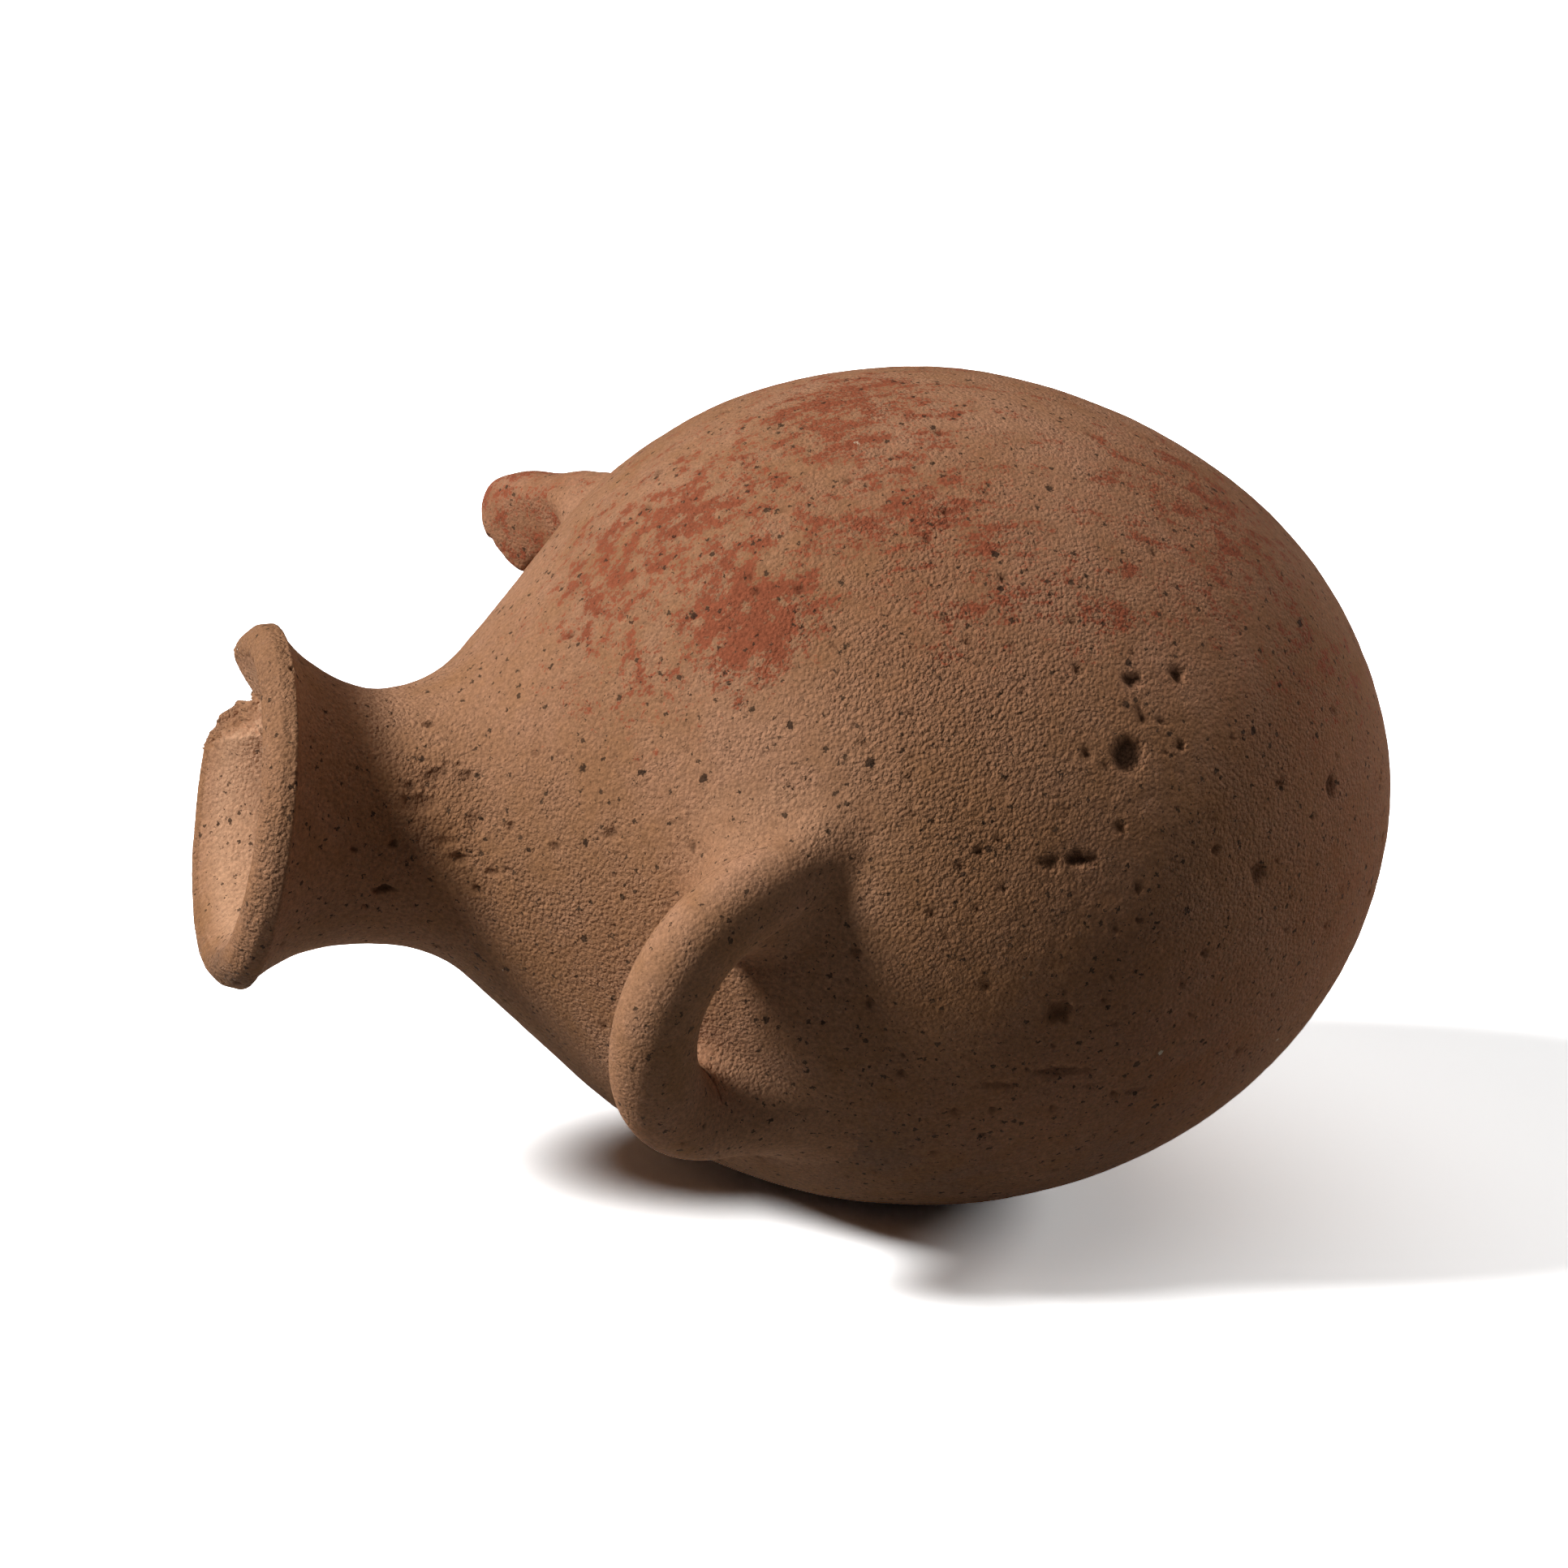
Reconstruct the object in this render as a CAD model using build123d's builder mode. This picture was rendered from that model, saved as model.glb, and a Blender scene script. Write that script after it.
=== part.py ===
"""Hand-built earthenware flask with a flared mouth and two loop handles, lying on its belly."""
import os
from math import acos, atan, cos, degrees, radians, sin, sqrt, tan
from build123d import *

os.makedirs("parts", exist_ok=True)

# Frame: the origin is the centre of the worn flat that the flask rests on.
# +Z is up, the base points along +X, the mouth along -X and the front is -Y.

# Body: an egg-round pot, in millimetres
belly_radius = 72.5
body_half_length = 82.0
belly_wall = 7.0
base_wall = 11.0
shoulder_wall = 6.5
rest_flat_depth = 0.6

# Joints between the built-up sections, in degrees round the outline from the base's pole
base_joint_angle = 54.0
lower_joint_angle = 77.0
belly_joint_angle = 105.0

# Shoulder, neck and mouth; the neck was set on a little askew
shoulder_slope = 45.0
cove_radius = 24.0
neck_radius = 21.9
neck_wall = 6.2
neck_lean = 2.9
mouth_turn = 7.0
throat_length = 7.0
flare_radius = 25.0
mouth_radius = 31.0
lip_band = 6.2
lip_splay = 9.0
lip_thickness = 5.2
lip_rounding = 1.7

# Chip broken out of the lip
chip_angle = 152.0
chip_width = 29.0
chip_floor_width = 14.0
chip_skew = 3.0
chip_depth = 7.5

# Loop handles: rolls of clay, their feet side by side round the shoulder
front_handle_angle = -16.5
front_handle_station = 42.4
front_handle_lean = 29.0
front_half_span = 25.9
front_handle_rise = 22.8
front_roll_width = 12.5
front_roll_thickness = 15.2
rear_handle_angle = 168.0
rear_handle_station = 45.0
rear_handle_lean = 56.0
rear_half_span = 21.5
rear_handle_rise = 27.0
rear_roll_width = 11.5
rear_roll_thickness = 11.5
key_depth = 2.6

# Breaks in the rear handle, measured round the shoulder from its middle
upper_break = 7.0
upper_break_skew = 30.0
lower_break = -4.8
lower_break_skew = -60.0

# Luting clay worked into the corner round each handle foot, from a start off the roll's edge lines
luting_spread = 6.5
luting_height = 5.0
luting_edge = 0.8
luting_start = 40.0

# Film of slip left in the handle joints
slip_gap = 0.15

axis_height = belly_radius - rest_flat_depth
cavity_radius = belly_radius - belly_wall
cavity_half_length = body_half_length - (base_wall + shoulder_wall) / 2
cavity_shift = (base_wall - shoulder_wall) / 2
slope = radians(shoulder_slope)
centre = Vector(0, 0, axis_height)

body_section = Plane(origin=centre, x_dir=(1, 0, 0), z_dir=(0, -1, 0))
body_axis = Axis(centre, body_section.x_dir)
neck_section = body_section.rotated((0, -neck_lean, 0))
neck_axis = Axis(centre, neck_section.x_dir)


def slope_angle(half_length, radius):
    """Angle round an ellipse at which it has come down to the shoulder's slope."""
    return 180 - degrees(atan(radius / (half_length * tan(slope))))


def wall_outline(start, outer_end, inner_end):
    """Outline of one built-up section of the wall, cut across at both ends."""
    with BuildLine() as outline:
        outside = EllipticalCenterArc(
            (0, 0), body_half_length, belly_radius, start, arc_size=outer_end - start
        )
        inside = EllipticalCenterArc(
            (-cavity_shift, 0), cavity_half_length, cavity_radius, start, arc_size=inner_end - start
        )
        Line(outside @ 0, inside @ 0)
        Line(outside @ 1, inside @ 1)
    return outline.line


def neck_points(half_length, radius, shift, least_radius, cove):
    """Top of the shoulder, foot of the neck's cove and narrowest point of one wall face."""
    reach = sqrt((half_length * tan(slope)) ** 2 + radius**2)
    top = Vector(-shift - half_length**2 * tan(slope) / reach, radius**2 / reach)
    cove_y = least_radius + cove * (1 - cos(slope))
    cove_foot = Vector(top.X - (top.Y - cove_y) / tan(slope), cove_y)
    narrowest = Vector(cove_foot.X - cove * sin(slope), least_radius)
    return top, cove_foot, narrowest


def solid_body(growth):
    """The body without its hollow, larger or smaller all round."""
    with BuildPart() as body:
        with BuildSketch(body_section):
            with BuildLine():
                outline = EllipticalCenterArc(
                    (0, 0), body_half_length + growth, belly_radius + growth, 0, arc_size=180
                )
                Line(outline @ 1, outline @ 0)
            make_face()
        revolve(axis=body_axis)
    return body.part


def outward(angle):
    """Direction straight out from the flask's axis, 0 to the front and 90 up."""
    return Vector(0, -cos(radians(angle)), sin(radians(angle)))


def around(angle):
    """Direction round the flask's axis, toward a larger angle."""
    return Vector(0, sin(radians(angle)), cos(radians(angle)))


def handle_plane(angle, station, lean, half_span):
    """Plane of a loop: X runs round the shoulder from foot to foot, Y toward the crown."""
    foot_radius = belly_radius * sqrt(1 - (station / body_half_length) ** 2)
    chord_radius = sqrt(foot_radius**2 - half_span**2)
    toward_mouth = Vector(-1, 0, 0) * cos(radians(lean))
    rise_way = toward_mouth + outward(angle) * sin(radians(lean))
    origin = centre + Vector(-station, 0, 0) + outward(angle) * chord_radius
    return Plane(origin=origin, x_dir=around(angle), z_dir=around(angle).cross(rise_way))


def loop_roll(plane, half_span, rise, width, thickness):
    """Roll of clay bent into a loop, with both ends run on into the wall."""
    run_on = base_wall + shoulder_wall
    with BuildPart() as roll:
        with BuildLine(plane) as path:
            arch = ThreePointArc((-half_span, 0), (0, rise), (half_span, 0))
            Line(arch @ 0 - (arch % 0) * run_on, arch @ 0)
            Line(arch @ 1, arch @ 1 + (arch % 1) * run_on)
        run = path.wire()
        with BuildSketch(Plane(origin=run @ 0, x_dir=plane.z_dir, z_dir=run % 0)):
            Ellipse(width / 2, thickness / 2)
        sweep(path=run)
    return roll.part


def front_roll(film):
    """The front loop's whole roll, with a film of slip all round it."""
    width = front_roll_width + 2 * film
    thickness = front_roll_thickness + 2 * film
    return loop_roll(front_plane, front_half_span, front_handle_rise, width, thickness)


def rear_roll(film):
    """The rear loop's roll as it was when whole, with a film of slip all round it."""
    width = rear_roll_width + 2 * film
    thickness = rear_roll_thickness + 2 * film
    return loop_roll(rear_plane, rear_half_span, rear_handle_rise, width, thickness)


def break_plane(offset, skew):
    """Plane of a break across the rear loop, facing from the smaller angle to the larger."""
    facing = rear_plane.x_dir.rotate(Axis((0, 0, 0), rear_plane.z_dir), skew)
    return Plane(origin=rear_plane.from_local_coords(Vector(offset, 0, 0)), z_dir=facing)


def luting_ring(plane, foot_at, top_radius, roll):
    """Clay worked into the corner round one foot, which is at that place along the plane's X."""
    foot = plane.from_local_coords(Vector(foot_at, 0, 0))
    out = foot - centre
    normal = Vector(
        out.X / body_half_length**2, out.Y / belly_radius**2, out.Z / belly_radius**2
    ).normalized()
    across = plane.z_dir.cross(normal).normalized().rotate(Axis((0, 0, 0), normal), luting_start)
    ring_radius = top_radius + luting_spread
    edge = luting_edge - ring_radius**2 / (2 * belly_radius)
    with BuildPart() as ring:
        with BuildSketch(Plane(origin=foot, x_dir=across, z_dir=across.cross(normal))):
            with BuildLine():
                cove = TangentArc((ring_radius, edge), (top_radius, luting_height), tangent=(-1, 0))
                Polyline(cove @ 1, (0, luting_height), (0, -ring_radius / 2))
                Polyline((0, -ring_radius / 2), (ring_radius, -ring_radius / 2), cove @ 0)
            make_face()
        revolve(axis=Axis(foot, normal))
        add(solid_body(slip_gap), mode=Mode.SUBTRACT)
        add(roll, mode=Mode.SUBTRACT)
    return ring.part


outer_top, outer_cove, outer_neck = neck_points(
    body_half_length, belly_radius, 0, neck_radius, cove_radius
)
inner_top, inner_cove, inner_neck = neck_points(
    cavity_half_length, cavity_radius, cavity_shift, neck_radius - neck_wall, cove_radius + neck_wall
)
outer_top_angle = slope_angle(body_half_length, belly_radius)
inner_top_angle = slope_angle(cavity_half_length, cavity_radius)
throat_end = inner_neck - Vector(throat_length, 0)

neck_centre = neck_section.from_local_coords(Vector(outer_neck.X, 0, 0))
mouth_section = Plane(origin=neck_centre, x_dir=neck_section.x_dir, z_dir=neck_section.z_dir)
mouth_section = mouth_section.rotated((0, mouth_turn, 0))
mouth_axis = Axis(neck_centre, mouth_section.x_dir)
lip_corner_radius = mouth_radius - lip_band * sin(radians(lip_splay))
flare_turn = acos(1 - (lip_corner_radius - neck_radius) / flare_radius)
lip_corner = Vector(-flare_radius * sin(flare_turn), lip_corner_radius)
lip_end = Vector(lip_corner.X - lip_band * cos(radians(lip_splay)), mouth_radius)
lip_inside = lip_end - Vector(0, lip_thickness)
funnel_start = Vector(throat_end.X - outer_neck.X, throat_end.Y)

front_plane = handle_plane(
    front_handle_angle, front_handle_station, front_handle_lean, front_half_span
)
rear_plane = handle_plane(
    rear_handle_angle, rear_handle_station, rear_handle_lean, rear_half_span
)

# Base bowl: the round bottom, pinched from one lump
with BuildPart() as base_bowl:
    with BuildSketch(body_section):
        with BuildLine():
            add(wall_outline(0, base_joint_angle, base_joint_angle))
        make_face()
    revolve(axis=body_axis)
base_bowl.part.label = "base_bowl"

# Lower wall section, built up on the bowl's edge
with BuildPart() as lower_wall:
    with BuildSketch(body_section):
        with BuildLine():
            add(wall_outline(base_joint_angle, lower_joint_angle, lower_joint_angle))
        make_face()
    revolve(axis=body_axis)
lower_wall.part.label = "lower_wall"

# Belly section, with the flat worn on its underside
with BuildPart() as belly_band:
    with BuildSketch(body_section):
        with BuildLine():
            add(wall_outline(lower_joint_angle, belly_joint_angle, belly_joint_angle))
        make_face()
    revolve(axis=body_axis)
    split(bisect_by=Plane.XY, keep=Keep.TOP)
belly_band.part.label = "belly_band"

# Shoulder section, with a shallow scored socket for each handle foot
with BuildPart() as shoulder_band:
    with BuildSketch(body_section):
        with BuildLine():
            add(wall_outline(belly_joint_angle, outer_top_angle, inner_top_angle))
        make_face()
    revolve(axis=body_axis)
    with BuildPart(mode=Mode.SUBTRACT):
        add(front_roll(slip_gap))
        add(rear_roll(slip_gap))
        add(solid_body(-key_depth - slip_gap), mode=Mode.SUBTRACT)
shoulder_band.part.label = "shoulder_band"

# Shoulder cone, closing the body in toward the neck and fitted to the shoulder's edge
with BuildPart() as shoulder_cone:
    run_back = Vector(cos(slope), sin(slope)) * shoulder_wall
    with BuildSketch(neck_section):
        with BuildLine():
            Polyline(outer_top + run_back, outer_cove, inner_cove, inner_top + run_back, close=True)
        make_face()
    revolve(axis=neck_axis)
    joint_out = outer_top * 3 - inner_top * 2
    joint_in = inner_top * 3 - outer_top * 2
    with BuildSketch(body_section):
        with BuildLine():
            Polyline(joint_out, joint_in, (0, joint_in.Y), (0, joint_out.Y), close=True)
        make_face()
    revolve(axis=body_axis, mode=Mode.SUBTRACT)
shoulder_cone.part.label = "shoulder_cone"

# Neck collar: coved outside, with a straight throat that takes a stopper
with BuildPart() as neck_collar:
    with BuildSketch(neck_section):
        with BuildLine():
            TangentArc(outer_cove, outer_neck, tangent=(-cos(slope), -sin(slope)))
            TangentArc(inner_cove, inner_neck, tangent=(-cos(slope), -sin(slope)))
            Polyline(inner_neck, throat_end, outer_neck)
            Line(outer_cove, inner_cove)
        make_face()
    revolve(axis=neck_axis)
neck_collar.part.label = "neck_collar"

# Flared mouth with a blunt lip, fitted to the neck's edge, with a piece broken away
with BuildPart() as flared_mouth:
    run_back = Vector(neck_wall, 0)
    with BuildSketch(mouth_section) as mouth_sketch:
        with BuildLine():
            TangentArc((0, neck_radius), lip_corner, tangent=(-1, 0))
            Polyline(lip_corner, lip_end, lip_inside)
            TangentArc(funnel_start, lip_inside, tangent=(-1, 0))
            Polyline(
                funnel_start,
                funnel_start + run_back,
                Vector(0, neck_radius) + run_back,
                (0, neck_radius),
            )
        make_face()
        fillet(mouth_sketch.vertices().sort_by(Axis.X)[:2], lip_rounding)
    revolve(axis=mouth_axis)
    joint_out = outer_neck * 2 - throat_end
    throat_past = throat_end - Vector(neck_radius, 0)
    with BuildSketch(neck_section):
        with BuildLine():
            Polyline(
                joint_out,
                throat_end,
                throat_past,
                (throat_past.X, 0),
                (0, 0),
                (0, joint_out.Y),
                close=True,
            )
        make_face()
    revolve(axis=neck_axis, mode=Mode.SUBTRACT)
    lip_centre = mouth_section.from_local_coords(Vector(lip_end.X, 0, 0))
    chip_plane = Plane(origin=lip_centre, x_dir=around(chip_angle), z_dir=outward(chip_angle))
    with BuildSketch(chip_plane.offset(neck_radius / 2)):
        with BuildLine():
            Polyline(
                (chip_width / 2, lip_band),
                (chip_width / 2, 0),
                (chip_floor_width / 2 - chip_skew, -chip_depth),
                (-chip_floor_width / 2 - chip_skew, -chip_depth),
                (-chip_width / 2, 0),
                (-chip_width / 2, lip_band),
                close=True,
            )
        make_face()
    extrude(amount=mouth_radius, mode=Mode.SUBTRACT)
flared_mouth.part.label = "flared_mouth"

# Front handle, its feet keyed into the shoulder
with BuildPart() as front_handle:
    add(front_roll(0))
    add(solid_body(-key_depth), mode=Mode.SUBTRACT)
front_handle.part.label = "front_handle"

# Rear handle: its crown is lost, and each foot keeps a stub that ends in a slanting break
with BuildPart() as rear_upper_stub:
    add(rear_roll(0))
    add(solid_body(-key_depth), mode=Mode.SUBTRACT)
    split(bisect_by=break_plane(upper_break, upper_break_skew), keep=Keep.BOTTOM)
rear_upper_stub.part.label = "rear_upper_stub"

with BuildPart() as rear_lower_stub:
    add(rear_roll(0))
    add(solid_body(-key_depth), mode=Mode.SUBTRACT)
    split(bisect_by=break_plane(lower_break, lower_break_skew), keep=Keep.TOP)
rear_lower_stub.part.label = "rear_lower_stub"

# Luting clay round the four handle feet
with BuildPart() as front_lower_luting:
    add(luting_ring(front_plane, -front_half_span, front_roll_thickness / 2, front_roll(slip_gap)))
front_lower_luting.part.label = "front_lower_luting"

with BuildPart() as front_upper_luting:
    add(luting_ring(front_plane, front_half_span, front_roll_thickness / 2, front_roll(slip_gap)))
front_upper_luting.part.label = "front_upper_luting"

with BuildPart() as rear_upper_luting:
    add(luting_ring(rear_plane, -rear_half_span, rear_roll_width / 2, rear_roll(slip_gap)))
rear_upper_luting.part.label = "rear_upper_luting"

with BuildPart() as rear_lower_luting:
    add(luting_ring(rear_plane, rear_half_span, rear_roll_width / 2, rear_roll(slip_gap)))
rear_lower_luting.part.label = "rear_lower_luting"

export_step(base_bowl.part, "parts/base_bowl.step")
export_step(lower_wall.part, "parts/lower_wall.step")
export_step(belly_band.part, "parts/belly_band.step")
export_step(shoulder_band.part, "parts/shoulder_band.step")
export_step(shoulder_cone.part, "parts/shoulder_cone.step")
export_step(neck_collar.part, "parts/neck_collar.step")
export_step(flared_mouth.part, "parts/flared_mouth.step")
export_step(front_handle.part, "parts/front_handle.step")
export_step(rear_upper_stub.part, "parts/rear_upper_stub.step")
export_step(rear_lower_stub.part, "parts/rear_lower_stub.step")
export_step(front_lower_luting.part, "parts/front_lower_luting.step")
export_step(front_upper_luting.part, "parts/front_upper_luting.step")
export_step(rear_upper_luting.part, "parts/rear_upper_luting.step")
export_step(rear_lower_luting.part, "parts/rear_lower_luting.step")
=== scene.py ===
from math import cos, radians, sin

import bpy
import numpy as np
from mathutils import Matrix


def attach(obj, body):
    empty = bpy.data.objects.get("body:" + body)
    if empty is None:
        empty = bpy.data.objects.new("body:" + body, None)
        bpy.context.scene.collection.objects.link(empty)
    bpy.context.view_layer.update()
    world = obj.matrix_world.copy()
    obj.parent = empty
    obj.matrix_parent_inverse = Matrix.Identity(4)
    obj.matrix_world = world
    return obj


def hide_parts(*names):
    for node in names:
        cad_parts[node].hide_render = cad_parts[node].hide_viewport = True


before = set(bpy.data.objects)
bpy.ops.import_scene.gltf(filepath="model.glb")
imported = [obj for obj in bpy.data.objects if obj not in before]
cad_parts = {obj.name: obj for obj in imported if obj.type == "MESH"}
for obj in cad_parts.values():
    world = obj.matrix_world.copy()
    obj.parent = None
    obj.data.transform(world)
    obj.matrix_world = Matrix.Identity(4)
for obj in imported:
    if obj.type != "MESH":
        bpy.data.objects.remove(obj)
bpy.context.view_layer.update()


# The wall: seven sections of coarse gritty clay, built up by hand from the base to the mouth and
# fired into one shell. Each was scraped and smoothed into the next, so no seam shows outside. The
# face was slipped red and rubbed along its length; most of the slip has worn or flaked away.
mm = 0.001

# Sizes in millimetres, and the joints between sections in degrees from the base.
half_length = 82.0
belly_radius = 72.5
axis_height = 71.9
hollow_half_length = 73.25
hollow_radius = 65.5
hollow_shift = -2.25
throat_radius = 15.7
rim_radius = 31.0
bowl_joint, lower_joint, belly_joint = 54, 77, 105
shoulder_end, hollow_shoulder_end = 138.52, 138.2
columns = 640
turn = np.linspace(0, 2 * np.pi, columns, endpoint=False)


def bow(centre_x, centre_r, size_x, size_r, start, end):
    """Points on one arc of the wall's outline, from one angle to another in degrees."""
    angle = np.radians(np.linspace(start, end, 600))
    return np.column_stack((centre_x + size_x * np.cos(angle), centre_r + size_r * np.sin(angle)))


def run(*points):
    """Points on the straight stretches of the wall's outline between given points."""
    steps = np.linspace(0, 1, 200)[:, None]
    ends = np.array(points)
    return np.vstack([a + (b - a) * steps for a, b in zip(ends[:-1], ends[1:])])


# The outline, station along the axis and radius, from the base's outer pole over the lip to its
# inner pole. Each group ends at a joint between two sections and starts with its rows' spacing.
body = (0, 0, half_length, belly_radius)
hollow = (hollow_shift, 0, hollow_half_length, hollow_radius)
outline_groups = [
    (0.70, [bow(*body, 0, bowl_joint)]),
    (0.66, [bow(*body, bowl_joint, lower_joint)]),
    (0.66, [bow(*body, lower_joint, belly_joint)]),
    (0.66, [bow(*body, belly_joint, shoulder_end)]),
    (0.66, [run((-61.43, 48.02), (-80.52, 28.93))]),
    (0.60, [bow(-97.5, 45.9, 24, 24, -45, -90)]),
    (0.42, [
        bow(-97.5, 46.9, 25, 25, -90, -136.5),
        run((-115.63, 29.69), (-115.75, 30.7), (-118.6, 30.2), (-120.6, 28.4), (-121.1, 25.9)),
        bow(-104.33, 34.58, 18.88, 18.88, 207.37, 270),
    ]),
    (1.50, [
        run((-104.33, throat_radius), (-97.32, throat_radius)),
        bow(-97.32, 45.9, 30.2, 30.2, -90, -45),
    ]),
    (5.00, [run((-75.96, 24.54), (-56.86, 43.66))]),
    (5.00, [bow(*hollow, hollow_shoulder_end, belly_joint)]),
    (5.00, [bow(*hollow, belly_joint, lower_joint)]),
    (5.00, [bow(*hollow, lower_joint, bowl_joint)]),
    (5.00, [bow(*hollow, bowl_joint, 0)]),
]
fine = 0.04
pole_hole = 0.4

rough_line = np.vstack([np.vstack(parts) for _, parts in outline_groups])
rough_step = np.linalg.norm(np.diff(rough_line, axis=0), axis=1)
rough_line = rough_line[np.r_[True, rough_step > 1e-9]]
rough_run = np.r_[0, np.cumsum(np.linalg.norm(np.diff(rough_line, axis=0), axis=1))]
line_run = np.arange(0, rough_run[-1], fine)
line = np.column_stack([np.interp(line_run, rough_run, rough_line[:, k]) for k in (0, 1)])

# Rubbed lip: its corners are taken off by averaging the outline over a short length.
lip_rounding = 1.5
lip_start, lip_blend = 112, 3
reach = int(lip_rounding / fine) // 2
padded = np.pad(line, ((reach, reach), (0, 0)), mode="edge")
mean_line = np.column_stack(
    [np.convolve(padded[:, k], np.ones(2 * reach + 1) / (2 * reach + 1), "valid") for k in (0, 1)]
)
near_lip = np.clip((-line[:, :1] - lip_start) / lip_blend, 0, 1)
line = line + (mean_line - line) * near_lip

joint_runs = [0.0]
for _, parts in outline_groups:
    stretch = np.vstack(parts)
    joint_runs.append(joint_runs[-1] + np.linalg.norm(np.diff(stretch, axis=0), axis=1).sum())
joint_runs = np.array(joint_runs) * line_run[-1] / joint_runs[-1]
row_runs = [np.array([pole_hole])]
joint_rows = [0]
for (step, _), start, end in zip(outline_groups, joint_runs[:-1], joint_runs[1:]):
    first = max(start, pole_hole)
    last = min(end, line_run[-1] - pole_hole)
    row_runs.append(np.linspace(first, last, int(np.ceil((last - first) / step)) + 1)[1:])
    joint_rows.append(joint_rows[-1] + len(row_runs[-1]))
row_run = np.concatenate(row_runs)
rows = len(row_run)
slope_line = np.gradient(line, axis=0)
slope_line /= np.linalg.norm(slope_line, axis=1)[:, None]
row_x, row_r, row_dx, row_dr = (
    np.interp(row_run, line_run, values)
    for values in (line[:, 0], line[:, 1], slope_line[:, 0], slope_line[:, 1])
)
station = np.repeat(row_x[:, None], columns, axis=1)
radius = np.repeat(row_r[:, None], columns, axis=1)


def ripples(points, size, seed):
    """Smooth uneven values about 0, of about that size in the points' own unit."""
    waves = 14
    draw = np.random.default_rng(seed)
    ways = draw.normal(size=(waves, points.shape[-1]))
    ways *= (draw.uniform(0.7, 1.5, waves) / np.linalg.norm(ways, axis=1))[:, None]
    phases = draw.uniform(0, 2 * np.pi, waves)
    total = sum(np.cos(points @ way * (2 * np.pi / size) + phase) for way, phase in zip(ways, phases))
    return total / np.sqrt(waves / 2)


# A piece broken out of the lip on the far side: there the outline stops short and crosses the
# wall on a rough fracture instead of going round the lip.
chip_angle = radians(152)
chip_places = (-14.5, -10.5, -2.0, 4.0, 9.0, 14.5)
chip_depths = (0, 6.2, 7.5, 7.0, 2.6, 0)
chip_least = 0.15
lip_station = row_x.min()
chip_along = rim_radius * np.angle(np.exp(1j * (turn - chip_angle)))
chip_depth = np.interp(chip_along, chip_places, chip_depths)
jag = ripples(np.column_stack((chip_along, 0 * chip_along)), 5.0, 3)
chip_depth = np.where(chip_depth > 0, np.maximum(chip_depth + 0.5 * jag * chip_depth / 7, 0), 0)
lip_run = row_run[np.argmin(row_x)]
mouth_start, mouth_end = joint_runs[6], joint_runs[7]
outer_side = (line_run > mouth_start) & (line_run < lip_run)
inner_side = (line_run >= lip_run) & (line_run < mouth_end)
for column in np.flatnonzero(chip_depth > chip_least):
    stop = lip_station + chip_depth[column]
    run_out = np.interp(-stop, -line[outer_side, 0], line_run[outer_side])
    run_in = np.interp(stop, line[inner_side, 0], line_run[inner_side])
    broken = (row_run > run_out) & (row_run < run_in)
    across = (row_run[broken] - run_out) / (run_in - run_out)
    r_out = np.interp(run_out, line_run, line[:, 1])
    r_in = np.interp(run_in, line_run, line[:, 1])
    radius[broken, column] = r_out + (r_in - r_out) * across
    spot = np.column_stack((radius[broken, column], np.full(broken.sum(), chip_along[column])))
    rough = 0.55 * ripples(spot, 3.2, 5) + 0.3 * ripples(spot, 1.3, 6) + 0.5 * np.sin(np.pi * across)
    station[broken, column] = stop + rough * np.sin(np.pi * across) ** 0.5

# The neck was set on askew: its axis sinks from the shoulder to the neck and turns up at the
# mouth, and each ring of the wall is tilted to suit.
neck_drop, drop_start, drop_length = 4.93, 35, 62.4
mouth_rise, mouth_rise_start, mouth_rise_bend = 0.0945, 97.4, 6
tilt_stations = (45, 85, 92, 108, 121)
tilt_degrees = (0, -2.9, -2.9, 4.1, 5.8)


def axis_drop(stations):
    """How far the askew neck has lowered the flask's axis at stations along it."""
    share = np.clip((-stations - drop_start) / drop_length, 0, 1)
    return neck_drop * share**2 * (3 - 2 * share)


past = np.maximum(-mouth_rise_start - station, 0)
bent_past = past - mouth_rise_bend * (1 - np.exp(-past / mouth_rise_bend))
axis_z = axis_height - axis_drop(station) + mouth_rise * bent_past
tilt = np.radians(np.interp(-station, tilt_stations, tilt_degrees))
round_cos = np.broadcast_to(np.cos(turn), station.shape)
round_sin = np.broadcast_to(np.sin(turn), station.shape)
radial = np.stack((round_sin * np.sin(tilt), -round_cos, round_sin * np.cos(tilt)), axis=-1)
axial = np.stack((np.cos(tilt), 0 * tilt, -np.sin(tilt)), axis=-1)
middle = np.stack((station, 0 * station, axis_z), axis=-1)
wall_points = middle + radial * radius[..., None]
wall_out = axial * row_dr[:, None, None] - radial * row_dx[:, None, None]
wall_out /= np.linalg.norm(wall_out, axis=-1, keepdims=True)
outside = (np.arange(rows) <= joint_rows[7])[:, None] * np.ones(columns)
fade_rows = 36
body_side = np.clip((joint_rows[6] + fade_rows - np.arange(rows)) / fade_rows, 0, 1)
body_side = body_side[:, None] * np.ones(columns)


def spot_mask(points, spots):
    """Strength of a mark that fades out round each given spot (x, y, z, size, strength)."""
    total = np.zeros(points.shape[:-1])
    for x, y, z, size, strength in spots:
        far = ((points - (x, y, z)) ** 2).sum(-1) / size**2
        total = np.maximum(total, strength * np.exp(-0.5 * far))
    return total


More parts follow.
